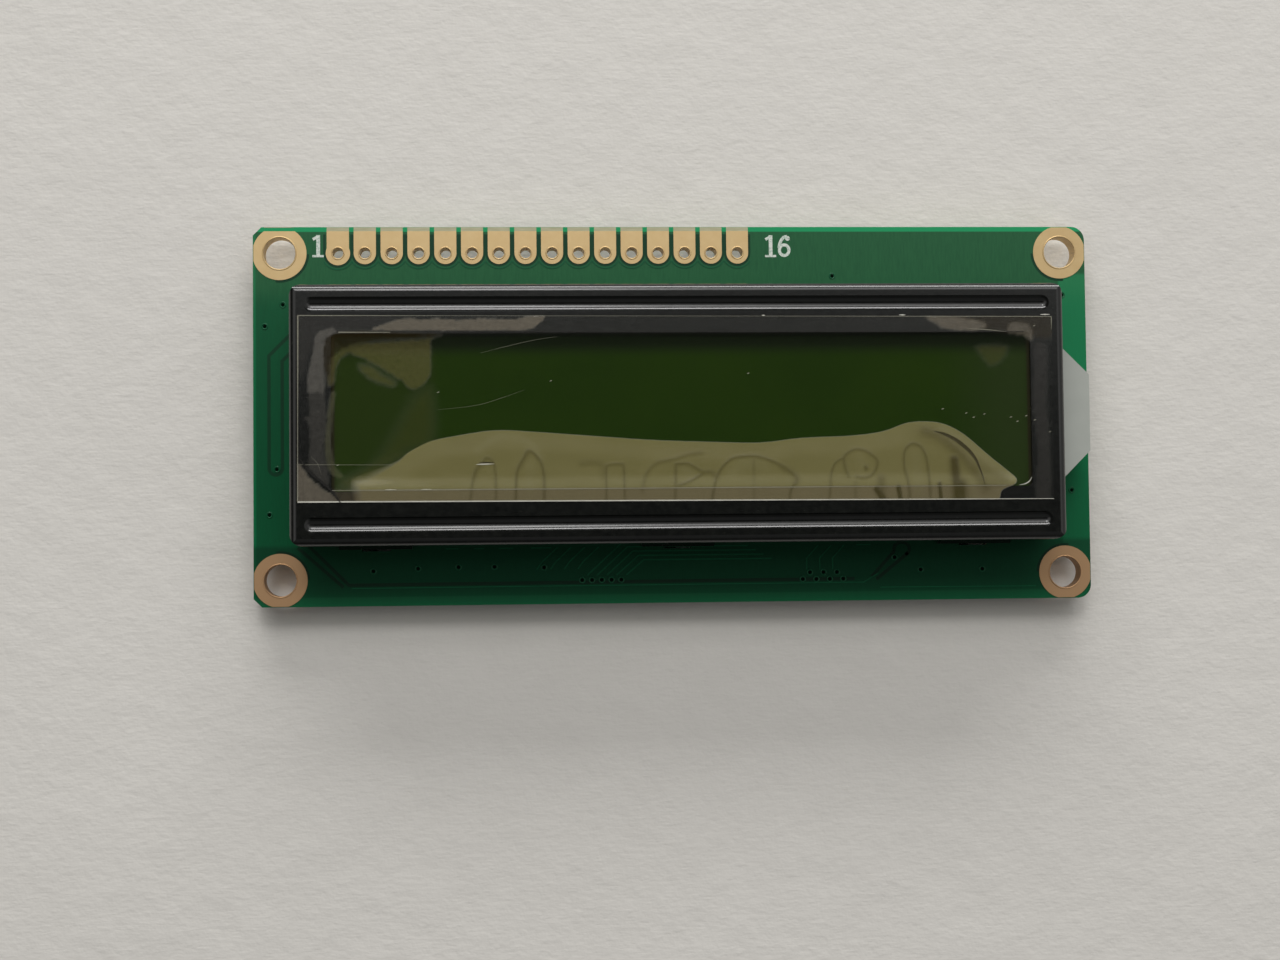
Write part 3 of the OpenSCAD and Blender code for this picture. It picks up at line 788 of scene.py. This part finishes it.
# Outline, colour, how much it hides, how soft its rim is.
STAINS = [
    ([(-34.9, 8.7), (-27.0, 8.7), (-28.4, 7.5), (-31.4, 7.3), (-33.2, 7.0), (-34.7, 3.0)],
     GREY, 0.028, 0.4),
    ([(-32.3, 6.9), (-22.9, 7.0), (-22.9, 6.6), (-28.0, 6.3), (-30.6, 5.6), (-31.7, 4.2), (-32.2, 2.4)],
     (0.07, 0.05, 0.018), 0.12, 0.25),
    ([(-31.6, 1.6), (-31.9, -0.9), (-32.0, -3.2), (-31.7, -5.0), (-31.0, -5.8), (-31.3, -6.2), (-32.2, -5.5),
      (-32.6, -3.4), (-32.4, -0.9), (-32.1, 1.2)], (0.28, 0.28, 0.16), 0.085, 0.14),
    ([(-32.2, 2.3), (-32.1, 3.6), (-31.9, 4.7), (-31.1, 5.5), (-30.1, 6.0), (-28.6, 6.2), (-28.6, 5.7),
      (-30.1, 5.3), (-31.0, 4.8), (-31.5, 4.0), (-31.7, 2.6)], KHAKI, 0.105, 0.24),
    ([(-30.0, 5.7), (-28.3, 6.15), (-26.4, 6.3), (-23.1, 6.5), (-22.95, 6.45), (-22.95, 5.2), (-22.95, 3.6),
      (-23.3, 2.7), (-24.0, 2.1), (-24.8, 1.9), (-25.4, 2.5), (-26.9, 3.5), (-28.7, 4.6), (-30.0, 5.1)],
     KHAKI, 0.13, 0.18),
    ([(-29.5, 4.1), (-28.9, 3.2), (-27.9, 2.6), (-26.4, 2.2), (-26.3, 2.7), (-27.4, 3.3), (-28.5, 4.1)],
     KHAKI, 0.105, 0.38),
    ([(-24.4, 1.2), (-22.9, 1.6), (-22.9, -2.9), (-25.2, -3.9), (-28.6, -5.6), (-29.0, -6.4), (-26.6, -2.6)],
     KHAKI, 0.035, 1.0),
    ([(27.7, 5.6), (30.4, 5.6), (29.9, 4.3), (28.9, 3.8), (28.2, 4.5)], KHAKI, 0.055, 0.4),
    ([(24.5, 8.6), (34.4, 8.6), (34.5, 6.4), (31.5, 6.7), (28.4, 7.1), (25.5, 7.5)],
     (0.26, 0.205, 0.12), 0.038, 0.3),
    ([(-28.2, 7.4), (-27.0, 7.9), (-25.7, 8.3), (-24.4, 8.35), (-23.9, 8.22), (-22.4, 8.34), (-20.3, 8.22),
      (-18.0, 8.34), (-16.2, 8.24), (-14.7, 8.32), (-14.2, 8.6), (-12.6, 8.6), (-12.8, 8.1), (-13.5, 7.5),
      (-14.4, 7.3), (-20.0, 7.25), (-25.7, 7.3)], BEIGE, 0.235, 0.08),
    ([(22.8, 8.5), (25.4, 8.4), (28.1, 7.9), (28.4, 7.4), (27.2, 7.05), (24.6, 7.3), (23.3, 8.0)],
     BEIGE, 0.2, 0.14),
    ([(30.8, 7.7), (32.0, 7.8), (32.7, 7.2), (32.75, 6.2), (31.7, 6.7), (30.5, 6.9)], BEIGE, 0.16, 0.16),
    ([(-32.1, 7.5), (-33.3, 6.9), (-33.6, 5.2), (-34.1, 3.0), (-33.9, 1.4), (-33.2, 1.1), (-32.6, 1.5),
      (-32.6, 4.0), (-32.6, 5.8), (-32.3, 6.7), (-31.4, 7.15)], GREY, 0.15, 0.1),
    ([(-33.9, 1.5), (-33.9, -0.4), (-34.5, -0.6), (-34.0, -1.3), (-33.9, -3.3), (-34.0, -5.2), (-33.0, -6.4),
      (-32.2, -6.7), (-32.7, -3.4), (-32.5, -2.1), (-32.6, 1.3)], GREY, 0.055, 0.14),
    ([(-35.1, -4.9), (-34.1, -5.9), (-33.2, -6.8), (-31.5, -8.0), (-31.2, -8.7), (-35.1, -8.7)],
     BEIGE, 0.185, 0.1),
    ([(33.0, 5.6), (33.9, 5.9), (34.2, 4.6), (34.1, 0.0), (34.3, -4.0), (34.2, -8.8), (32.9, -8.8),
      (33.1, -4.0), (32.8, 0.0), (32.9, 3.0)], (0.29, 0.272, 0.245), 0.036, 0.22),
    ([(-31.6, -7.3), (-29.6, -7.5), (-29.2, -8.7), (-31.0, -8.7)], (0.26, 0.215, 0.13), 0.08, 0.45),
    ([(-31.2, -6.5), (-29.0, -5.4), (-25.6, -4.0), (-29.6, -6.6), (-30.4, -7.2)], KHAKI, 0.06, 0.7),
]

# Path, half width, depth: the film's wrinkles, which raise the sheet a little; their soft dark outlines are
# painted shade.
FOLDS_WITH_PAINTED_SHADE = [
    ([(-19.5, -8.9), (-19.2, -6.6), (-19.0, -5.7), (-18.7, -5.2), (-18.2, -4.7), (-17.9, -4.4),
      (-17.4, -4.7), (-17.2, -5.2), (-17.1, -6.5), (-17.1, -8.9)], 0.14, 0.5),
    ([(-19.1, -6.3), (-18.9, -5.6), (-18.6, -5.2)], 0.22, 0.45),
    ([(-15.3, -8.9), (-15.2, -6.1), (-14.9, -5.1), (-14.5, -4.4), (-14.2, -3.8), (-13.8, -3.9),
      (-13.2, -4.5), (-12.9, -5.1), (-12.7, -6.1), (-12.7, -8.9)], 0.14, 0.6),
    ([(-15.0, -5.3), (-14.4, -4.3), (-14.1, -3.9)], 0.24, 0.45),
    ([(-7.0, -8.9), (-7.0, -5.6), (-6.7, -5.15), (-5.7, -5.1), (-5.4, -5.4), (-5.3, -8.9)], 0.13, 0.5),
    ([(-9.2, -5.0), (-8.0, -4.9), (-7.2, -5.3), (-7.2, -6.2)], 0.34, 0.28),
    ([(-3.7, -7.6), (-3.4, -6.2), (-2.5, -5.1), (-1.5, -4.8), (-0.6, -4.6), (0.7, -4.2), (1.8, -4.1)],
     0.2, 0.35),
    ([(-0.6, -5.1), (-0.7, -8.9)], 0.13, 0.55),
    ([(-0.6, -5.1), (0.5, -5.1), (1.4, -5.6), (1.9, -5.9), (1.4, -6.3), (0.7, -6.7), (-0.3, -7.1)],
     0.15, 0.5),
    ([(1.9, -5.9), (2.7, -5.9), (3.2, -6.4)], 0.24, 0.4),
    ([(2.6, -8.9), (3.0, -6.9), (3.4, -5.9), (4.0, -5.1), (4.7, -4.6), (5.8, -4.45), (6.8, -4.45),
      (7.8, -4.7), (8.9, -5.2), (9.9, -5.8), (10.6, -6.5), (10.4, -7.0), (10.0, -7.6), (9.8, -8.9)],
     0.15, 0.55),
    ([(9.2, -5.4), (10.0, -5.9), (10.6, -6.5), (10.4, -7.0)], 0.28, 0.45),
    ([(6.6, -4.8), (6.6, -8.9)], 0.13, 0.32),
    ([(13.5, -8.9), (13.7, -7.0), (13.8, -6.0), (14.2, -5.1), (14.9, -4.7)], 0.13, 0.5),
    ([(15.4, -6.4), (15.1, -5.6), (15.0, -4.6), (15.5, -4.1), (16.2, -3.85), (16.9, -4.0), (17.6, -4.4),
      (18.1, -5.0), (17.9, -5.8), (17.5, -6.3), (16.8, -6.5), (16.1, -6.4)], 0.15, 0.5),
    ([(17.0, -5.5), (17.05, -5.7)], 0.16, 0.7),
    ([(16.0, -6.9), (16.0, -8.9)], 0.16, 0.3),
    ([(18.4, -6.6), (18.4, -8.9)], 0.45, 0.5),
    ([(21.1, -8.9), (20.9, -6.8), (20.6, -5.6), (20.6, -4.3), (21.0, -3.6), (21.5, -3.4), (22.2, -3.7),
      (22.6, -4.5), (22.8, -5.6), (22.9, -6.8), (23.0, -8.9)], 0.14, 0.55),
    ([(18.0, -7.6), (18.6, -8.5)], 0.26, 1.8),
    ([(20.0, -7.4), (20.2, -8.7)], 0.17, 1.9),
    ([(23.85, -7.1), (23.95, -8.5)], 0.14, 1.6),
    ([(25.3, -4.9), (25.4, -6.4), (25.6, -9.0)], 0.45, 1.15),
    ([(25.7, -7.3), (25.7, -9.0)], 0.65, 1.3),
    ([(22.6, -2.2), (24.2, -2.9), (26.0, -4.5), (27.4, -6.2), (28.2, -7.4)], 0.55, 0.5),
    ([(27.6, -5.4), (28.6, -6.1), (29.9, -6.8), (28.4, -7.1)], 0.55, 0.3),
    ([(27.2, -6.6), (27.8, -7.0), (28.0, -8.0)], 0.2, 0.25),
]

# The same, for the pale crests beside them: painted highlights.
CREST_HIGHLIGHTS = [
    ([(-18.8, -3.9), (-17.8, -3.0), (-16.6, -2.5), (-15.0, -2.6), (-13.6, -3.4), (-13.0, -4.4)], 0.32, 0.45),
    ([(24.2, -1.9), (26.2, -3.1), (28.2, -4.8), (30.6, -6.6)], 0.36, 0.55),
    ([(4.6, -6.0), (5.8, -5.2), (7.6, -5.4)], 0.6, 0.3),
    ([(0.2, -5.6), (0.8, -5.9)], 0.4, 0.3),
    ([(21.7, -4.6), (21.9, -7.6)], 0.5, 0.3),
    ([(-13.9, -5.0), (-14.0, -7.4)], 0.5, 0.22),
    ([(16.4, -4.8), (16.7, -5.2)], 0.5, 0.3),
    ([(26.6, -5.2), (27.0, -8.2)], 0.35, 0.2),
]

STAINS = [(Mark(outline, True), colour, cover, soft) for outline, colour, cover, soft in STAINS]
FOLDS_WITH_PAINTED_SHADE = [(Mark(path, False), width, depth) for path, width, depth in FOLDS_WITH_PAINTED_SHADE]
CREST_HIGHLIGHTS = [(Mark(path, False), width, depth) for path, width, depth in CREST_HIGHLIGHTS]


def over_window(x, y, rim=1.4):
    """1 over the middle of the window and 0 over the bezel, smooth between."""
    return min(smooth_step(WINDOW_HALF_L - abs(x - WINDOW_X), 0.0, rim),
               smooth_step(WINDOW_HALF_W - abs(y - WINDOW_Y), 0.0, rim))


def strongest(marks, x, y):
    """The greatest depth of several lines at a place, each fading with distance."""
    depth = 0.0
    for mark, width, peak in marks:
        away = mark.distance(x, y)
        if away > -3 * width:
            depth = max(depth, peak * math.exp(-(away / width) ** 2))
    return depth


def film_tone(x, y):
    """Colour and cover of the film at a place, without its loose part."""
    inside = over_window(x, y, 0.3)
    upper = smooth_step(y, 5.0, 7.4)
    colour, cover = Vector(CLEAR), 0.003 + 0.014 * upper - inside * (0.001 + 0.014 * upper)
    ragged = noise.noise(Vector((x * 2.4, y * 2.4, 5.0)))
    ragged += 0.5 * noise.noise(Vector((x * 6.0, y * 6.0, 9.0)))
    for mark, stain, hides, soft in STAINS:
        weight = smooth_step(mark.distance(x, y) + 0.11 * ragged, -soft, soft)
        if weight > 0.0:
            colour = colour.lerp(Vector(stain), weight)
            cover += (hides - cover) * weight
    return colour, cover


def film_height(x, y, loose=None, fold_and_shade=None):
    """The film spans the window, sags where it touches and lifts where it is loose."""
    if loose is None:
        loose = LOOSE.distance(x, y)
        fold_and_shade = strongest(FOLDS_WITH_PAINTED_SHADE, x, y)
    open_part = over_window(x, y)
    lift = 0.08 * smooth_step(loose, -0.2, 2.0)
    ripple = 0.02 * noise.noise(Vector((x * 0.35, y * 0.6, 1.7)))
    return FACE_TOP + FILM_CLEAR + open_part * (lift + 0.03 * fold_and_shade + ripple - 0.2)


def make_film():
    """The film as one fine sheet, its marks with their painted shade and highlights, and its stains kept
    with its points.
    """
    columns, rows = round(FILM_L / FILM_PITCH), round(FILM_W / FILM_PITCH)
    mesh = bmesh.new()
    bmesh.ops.create_grid(mesh, x_segments=columns, y_segments=rows, size=0.5)
    marks = mesh.verts.layers.float_color.new("film_marks_and_painted_light")
    tones = mesh.verts.layers.float_color.new("film_tones")
    for vert in mesh.verts:
        x, y = FILM_CENTRE + FILM_TURN @ Vector((vert.co.x * FILM_L, vert.co.y * FILM_W))
        loose = max(-REACH, min(REACH, LOOSE.distance(x, y)))
        fold_and_shade = strongest(FOLDS_WITH_PAINTED_SHADE, x, y)
        colour, cover = film_tone(x, y)
        vert.co = (x, y, film_height(x, y, loose, fold_and_shade))
        vert[marks] = (0.5 + loose / (2 * REACH), strongest(CREST_HIGHLIGHTS, x, y), fold_and_shade / 2, 1.0)
        vert[tones] = (*(colour * cover), cover)
    piece = finish_piece(mesh, "film_sheet", film_finish(), smooth=True)
    wall = piece.modifiers.new("thickness", "SOLIDIFY")
    wall.thickness = FILM_SHEET * MM
    wall.offset = 1.0
    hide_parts("protective_film")


def film_finish():
    """Clear film, stained where it has lifted and hazed where it is loose from the screen."""
    finish = Finish("clear_film", CLEAR, 0.16, Specular_IOR_Level=0.6)
    marks = finish.node("Attribute", {"attribute_name": "film_marks_and_painted_light"})
    loose_at, crest_highlight, fold_and_shade = finish.split(marks)
    fold_and_shade = fold_and_shade * 2.0
    tones = {"attribute_name": "film_tones"}
    stain, cover = (finish.node("Attribute", tones, out=i) for i in (0, 3))
    stain = finish.scale(stain, 1.0 / cover.max(0.002))
    wobble = (finish.noise(1.4, 2.0) - 0.5) * 0.012
    x, y, _ = finish.axes()
    hazy = finish.ramp(x, -24.5, -30.0)
    loose = ((loose_at + wobble - 0.49 + hazy * 0.05) / (0.026 + hazy * 0.22)).clamp()
    streak = finish.noise(0.5, 3.0, stretch=(1.0, 0.25, 1))
    brushed = finish.noise(1.6, 3.0, stretch=(0.3, 4.0, 1))
    mottle = finish.noise(2.6, 3.0, rough=0.6)
    below = finish.ramp(y, -7.15, -7.35)
    khaki = finish.mix(KHAKI, (0.242, 0.216, 0.079), finish.ramp(x, -23.2, -22.2))
    khaki = finish.mix(khaki, (0.236, 0.199, 0.102), below)
    # Wrinkle crests lighter and their outlines darker: painted highlights and painted shade.
    khaki = finish.mix(khaki, (0.272, 0.25, 0.115), crest_highlight.clamp())
    khaki = finish.mix(khaki, (0.095, 0.078, 0.022), (fold_and_shade * 1.05).clamp())
    hidden = 0.5 + (streak - 0.5) * 0.1 + (brushed - 0.5) * 0.05 + crest_highlight * 0.05 - below * 0.07
    scratch = finish.ramp(finish.noise(2.0, 2.0, stretch=(0.15, 2.2, 1)), 0.72, 0.78)
    speck = finish.ramp(finish.noise(5.0, 1.0), 0.77, 0.8)
    varied_mix = cover * (0.45 + mottle * 1.1) + scratch * 0.01 + speck * 0.07
    alpha = varied_mix * (1.0 - loose) + loose * hidden
    finish.set(Base_Color=finish.mix(stain, khaki, loose), Alpha=alpha.clamp(),
               Roughness=0.12 + loose * 0.14)
    finish.bump(streak + fold_and_shade * 2.0 + brushed * 0.3, 0.02, 0.5)
    return finish


def lay_strip(mesh, points, widths):
    """A thin line on the film, following its height, wider or narrower along its length."""
    line = flowing(points, steps=8) if len(points) > 2 else [Vector(p) for p in points]
    if len(line) == 2:
        a, b = line
        count = max(2, int((b - a).length / 0.5))
        line = [a.lerp(b, i / count) for i in range(count + 1)]
    rows = []
    for i, point in enumerate(line):
        ahead = line[min(i + 1, len(line) - 1)] - line[max(i - 1, 0)]
        along = i / (len(line) - 1) * (len(widths) - 1)
        k = min(int(along), len(widths) - 2)
        half = (widths[k] + (widths[k + 1] - widths[k]) * (along - k)) / 2
        side = ahead.normalized().orthogonal() * half
        z = film_height(point.x, point.y) + FILM_SHEET + LINE_UP
        rows.append([mesh.verts.new((*(point + side), z)), mesh.verts.new((*(point - side), z))])
    faces = [mesh.faces.new((a[0], a[1], b[1], b[0])) for a, b in zip(rows, rows[1:])]
    thicken(mesh, faces, -LINE_SHEET)


def film_corner(across, along):
    """A corner of the film, just inside its cut edges."""
    inset = 0.06
    return FILM_CENTRE + FILM_TURN @ Vector((across * (FILM_L / 2 - inset), along * (FILM_W / 2 - inset)))


def make_film_lines():
    """Fine lines on the film: painted highlights along its cut edges and glints where it bends, pale
    scratches and specks, and painted shade along its creases and the window's upper edge.
    """
    bright, faint, dark = bmesh.new(), bmesh.new(), bmesh.new()
    top_left, top_right = film_corner(-1, 1), film_corner(1, 1)
    low_left, low_right = film_corner(-1, -1), film_corner(1, -1)
    # Pale lines along the film's cut edges: painted highlights.
    lay_strip(bright, [low_left, low_right], (0.13, 0.11, 0.11, 0.09, 0.05))
    lay_strip(faint, [top_left, low_left], (0.13, 0.11, 0.07, 0.07, 0.1))
    lay_strip(faint, [top_left, top_right], (0.09, 0.03, 0.03, 0.03, 0.05, 0.07))
    lay_strip(faint, [top_right, top_right + Vector((0.0, -1.2))], (0.1, 0.03))
    # Short bright dashes, and the glints where the film bends over the window's edges: painted highlights.
    for x0, x1 in ((7.5, 7.8), (20.3, 20.9), (33.6, 34.5)):
        lay_strip(bright, [(x0, 8.55), (x1, 8.55)], (0.03, 0.12, 0.03))
    lay_strip(faint, [(-32.1, -7.3), (30.1, -7.35)], (0.06, 0.1, 0.08, 0.07, 0.08, 0.06, 0.05))
    for x0, x1 in ((-27.2, -26.1), (-23.9, -22.9)):
        lay_strip(bright, [(x0, -7.27), (x1, -7.27)], (0.02, 0.08, 0.02))
    lay_strip(bright, [(-18.9, -5.02), (-17.2, -4.98)], (0.02, 0.12, 0.1, 0.02))
    lay_strip(bright, [(31.3, -7.32), (31.9, -7.2), (32.3, -6.95), (32.5, -6.6)], (0.02, 0.09, 0.1, 0.03))
    lay_strip(faint, [(-31.3, 7.12), (-26.6, 7.1)], (0.12, 0.09, 0.06))
    lay_strip(faint, [(26.6, 7.25), (28.5, 7.15), (30.4, 6.95)], (0.03, 0.08, 0.03))
    lay_strip(faint, [(-35.0, -4.93), (-26.5, -5.0)], (0.035, 0.025))
    for path in ([(-18.4, 5.2), (-16.0, 5.8), (-13.5, 6.35), (-11.4, 6.65)],
                 [(-22.3, 0.0), (-18.8, 0.4), (-16.4, 1.1), (-14.4, 1.8)],
                 [(-33.8, -4.2), (-33.2, -4.9), (-32.9, -5.8)]):
        lay_strip(faint, path, (0.01, 0.025, 0.01))
    for x, y in ((24.3, -0.2), (26.5, -0.6), (27.2, -1.0), (28.2, -0.7), (30.7, -1.0), (31.3, -1.4),
                 (32.1, -0.9), (32.9, -1.3), (34.3, -2.4), (33.0, 7.5), (-22.3, 1.6), (-31.4, -5.0),
                 (-12.0, 2.6), (6.2, 3.2)):
        lay_strip(faint, [(x - 0.12, y - 0.03), (x + 0.12, y + 0.05)], (0.03, 0.11, 0.03))
    # Dark lines along a crease, along the window's upper edge and beside a glint: painted shade.
    lay_strip(dark, [(-35.0, -4.2), (-33.8, -5.7), (-32.2, -7.1), (-31.1, -8.5)],
              (0.05, 0.24, 0.22, 0.16, 0.1))
    lay_strip(dark, [(-26.6, 7.16), (-5.0, 7.06), (32.0, 6.95)], (0.02, 0.09, 0.09, 0.05))
    lay_strip(dark, [(-18.6, -4.86), (-17.3, -4.83)], (0.02, 0.09, 0.02))
    # The wide dark band of the big crease: painted shade.
    olive = bmesh.new()
    lay_strip(olive, [(23.4, -2.25), (24.3, -2.5), (25.3, -3.0), (26.0, -3.5), (26.7, -4.1), (27.3, -4.9),
                      (27.6, -5.6), (27.9, -6.4), (28.1, -7.3)], (0.03, 0.3, 0.4, 0.32, 0.22, 0.12, 0.03))
    lines = ((bright, "film_painted_glints", (0.62, 0.61, 0.54), 0.85),
             (faint, "faint_glints_and_scratches", (0.4, 0.39, 0.3), 0.36),
             (dark, "film_painted_shade_lines", (0.006, 0.005, 0.003), 0.8),
             (olive, "film_crease_painted_shade", (0.05, 0.042, 0.01), 0.72))
    for mesh, name, colour, cover in lines:
        finish = Finish(name, colour, 0.35)
        patchy = finish.noise(0.7, 3.0, stretch=(1, 3, 1))
        finish.set(Alpha=cover * (0.7 + patchy * 0.6), Base_Color=finish.mix(
            tuple(c * 0.8 for c in colour), colour, patchy))
        finish.bump(patchy, 0.01, 0.4)
        finish_piece(mesh, name, finish)


make_film()
make_film_lines()


# ---- the back

SMALL_PARTS = nodes_named("resistor_", "capacitor_")


def make_terminals():
    """Tinned ends of the surface-mounted parts, with their fillets of solder."""
    mesh = bmesh.new()
    for name in SMALL_PARTS:
        low, high = node_box(name)
        for y, out in ((low.y, -1), (high.y, 1)):
            cap = [(low.x - 0.02, y - out * 0.38), (high.x + 0.02, y - out * 0.38),
                   (high.x + 0.02, y + out * 0.03), (low.x - 0.02, y + out * 0.03)]
            raise_plate(mesh, cap if out > 0 else cap[::-1], low.z - 0.02, high.z - 0.01)
            pad = [(low.x - 0.12, y), (high.x + 0.12, y),
                   (high.x + 0.05, y + out * 0.55), (low.x - 0.05, y + out * 0.55)]
            raise_plate(mesh, pad, -0.12, -0.005)
    bmesh.ops.bevel(mesh, geom=mesh.edges[:], affect="EDGES", offset=0.03, segments=2,
                    profile=0.5, material=-1)
    finish_piece(mesh, "part_terminals", SOLDER)


def make_back_traces():
    """Copper under the lacquer between the pin row and the two chips."""
    mesh = bmesh.new()
    low, high = -TRACE_UP, 0.0
    for i, (x, _, _) in enumerate(pin_pads()):
        target = -24.0 + 0.85 * i
        drop = 13.6 - 0.28 * min(i, PINS - 1 - i)
        path = [(x, 14.6), (x, drop), (target, drop - abs(target - x) * 0.25 - 0.6), (target, 6.4)]
        add_ribbon(mesh, path, 0.22, low, high)
    for i in range(9):
        y = -3.6 + 0.72 * i
        drawn = y * 0.7 - 0.3
        add_ribbon(mesh, [(-9.4, y), (-6.6, drawn), (4.4, drawn), (7.4, y)], 0.2, low, high)
    for i in range(7):
        x, y = -22.0 + 1.6 * i, -13.2 - 0.35 * i
        add_ribbon(mesh, [(x, -8.2), (x, y), (x + 16.0, y)], 0.2, low, high)
    add_ribbon(mesh, [(23.0, -1.0), (30.0, -1.0), (33.0, 2.0), (33.0, 9.0)], 0.9, low, high)
    finish_piece(mesh, "back_traces", TRACE)


def make_back_legend():
    """Printed outlines round the resin covers and the small parts."""
    mesh = bmesh.new()
    low, high = -INK_UP, 0.0
    for name in ("chip_cover_left", "chip_cover_right"):
        a, b = node_box(name)
        radius = (b.x - a.x) / 2 + 0.5
        outline = arc((a.x + b.x) / 2, (a.y + b.y) / 2, radius, radius, 0, 359.9, 72)
        add_ribbon(mesh, outline, 0.18, low, high)
    for name in SMALL_PARTS:
        a, b = node_box(name)
        x0, x1, y0, y1 = a.x - 0.35, b.x + 0.35, a.y - 0.8, b.y + 0.8
        for path in ([(x0, y0), (x0, y1)], [(x1, y0), (x1, y1)],
                     [(x0, y0), (x1, y0)], [(x0, y1), (x1, y1)]):
            add_ribbon(mesh, path, 0.15, low, high)
    finish_piece(mesh, "back_legend", INK)


BACK_HOLES = [(-24.0 + 0.85 * i, 6.2) for i in range(PINS)] + [
    (-22.0 + 1.6 * i, -8.2) for i in range(7)] + [
    (-6.0 + 1.6 * i, -13.2 - 0.35 * i) for i in range(7)] + [(33.0, 9.0), (30.5, -12.0), (-33.5, -9.0)]

make_terminals()
make_back_traces()
make_back_legend()
make_holes("back_holes", BACK_HOLES, 0.0, -1)


# ---- floor and light

def make_floor():
    """Pale paper, wide enough to fill every view; paler under the board, which is painted light."""
    paper = Finish("pale_paper", (0.66, 0.645, 0.61), 0.85, Specular_IOR_Level=0.2)
    fibre = paper.noise(0.25, 4.0)
    x, y, _ = paper.axes()
    # Paler paper under the board: painted light, so the paper seen through the holes is not darkened by the
    # board's shadow.
    under = paper.ramp(abs(x), HALF_L, HALF_L - 1) * paper.ramp(abs(y), HALF_W, HALF_W - 1)
    sheet = paper.mix((0.655, 0.635, 0.6), (0.695, 0.675, 0.64), fibre)
    paper.set(Base_Color=paper.mix(sheet, (0.94, 0.93, 0.9), under))
    grain = paper.noise(2.0, 3.0, stretch=(0.45, 1.5, 1))
    paper.bump(fibre + paper.noise(1.0, 2.0) * 0.2 + grain * 0.2, 0.25, 0.6)
    mesh = bmesh.new()
    bmesh.ops.create_grid(mesh, x_segments=1, y_segments=1, size=6.0)
    bmesh.ops.translate(mesh, vec=(0, 0, FLOOR * MM), verts=mesh.verts)
    floor = mesh_object(mesh, "floor", paper)


def toward(turn, height):
    """The unit vector at a height in degrees above the floor, turned from the back toward the right."""
    turn, height = math.radians(turn), math.radians(height)
    flat = math.cos(height)
    return Vector((flat * math.sin(turn), flat * math.cos(turn), math.sin(height)))


def make_room():
    """A plain room: dim walls, and a ceiling dark overhead and pale toward the back."""
    world = bpy.data.worlds.new("room")
    bpy.context.scene.world = world
    world.use_nodes = True
    room = Graph(world.node_tree)
    x, y, z = room.split(room.node("TexCoord", out="Generated"))
    right = room.ramp(x, 0.1, 0.9)
    walls = room.mix((0.06, 0.06, 0.058), (0.42, 0.42, 0.41), right)
    pale = room.mix((0.76, 0.755, 0.74), (0.17, 0.17, 0.17), room.ramp(y, 0.05, -0.38))
    ceiling = room.mix(walls, pale, room.ramp(z, 0.45, 0.72))
    up, lean = z.max(0.05), math.tan(math.radians(3))
    across = (x / up - lean) / math.tan(math.radians(18))
    along = (y / up + lean) / math.tan(math.radians(7))
    overhead = room.ramp((across * across + along * along) ** 0.5, 0.6, 2.4)
    light = room.mix((0.024, 0.025, 0.024), ceiling, (overhead * overhead).max(room.ramp(z, 0.6, 0.4)))
    room.tree.links.new(light.socket, room.tree.nodes["Background"].inputs["Color"])


def make_window(name, turn, height, far, width, tall, glow):
    """A soft window: its place about the object, its size, and what it adds to flat white paper."""
    way = toward(turn, height)
    data = bpy.data.lights.new(name, "AREA")
    data.shape = "RECTANGLE"
    data.size, data.size_y = width, tall
    data.energy = glow * math.pi ** 2 * far ** 2 / way.z
    data.color = (1.0, 0.99, 0.975)
    lamp = new_object(name, data)
    lamp.location = way * far
    lamp.rotation_euler = (-lamp.location).to_track_quat("-Z", "Y").to_euler()


make_floor()
make_room()
make_window("high_window", turn=0, height=54, far=0.75, width=0.8, tall=0.26, glow=0.165)
make_window("bright_pane", turn=-7, height=54, far=0.75, width=0.16, tall=0.26, glow=0.11)
make_window("low_window", turn=0, height=22, far=0.75, width=0.75, tall=0.18, glow=0.28)

bpy.context.scene.view_settings.view_transform = "Standard"
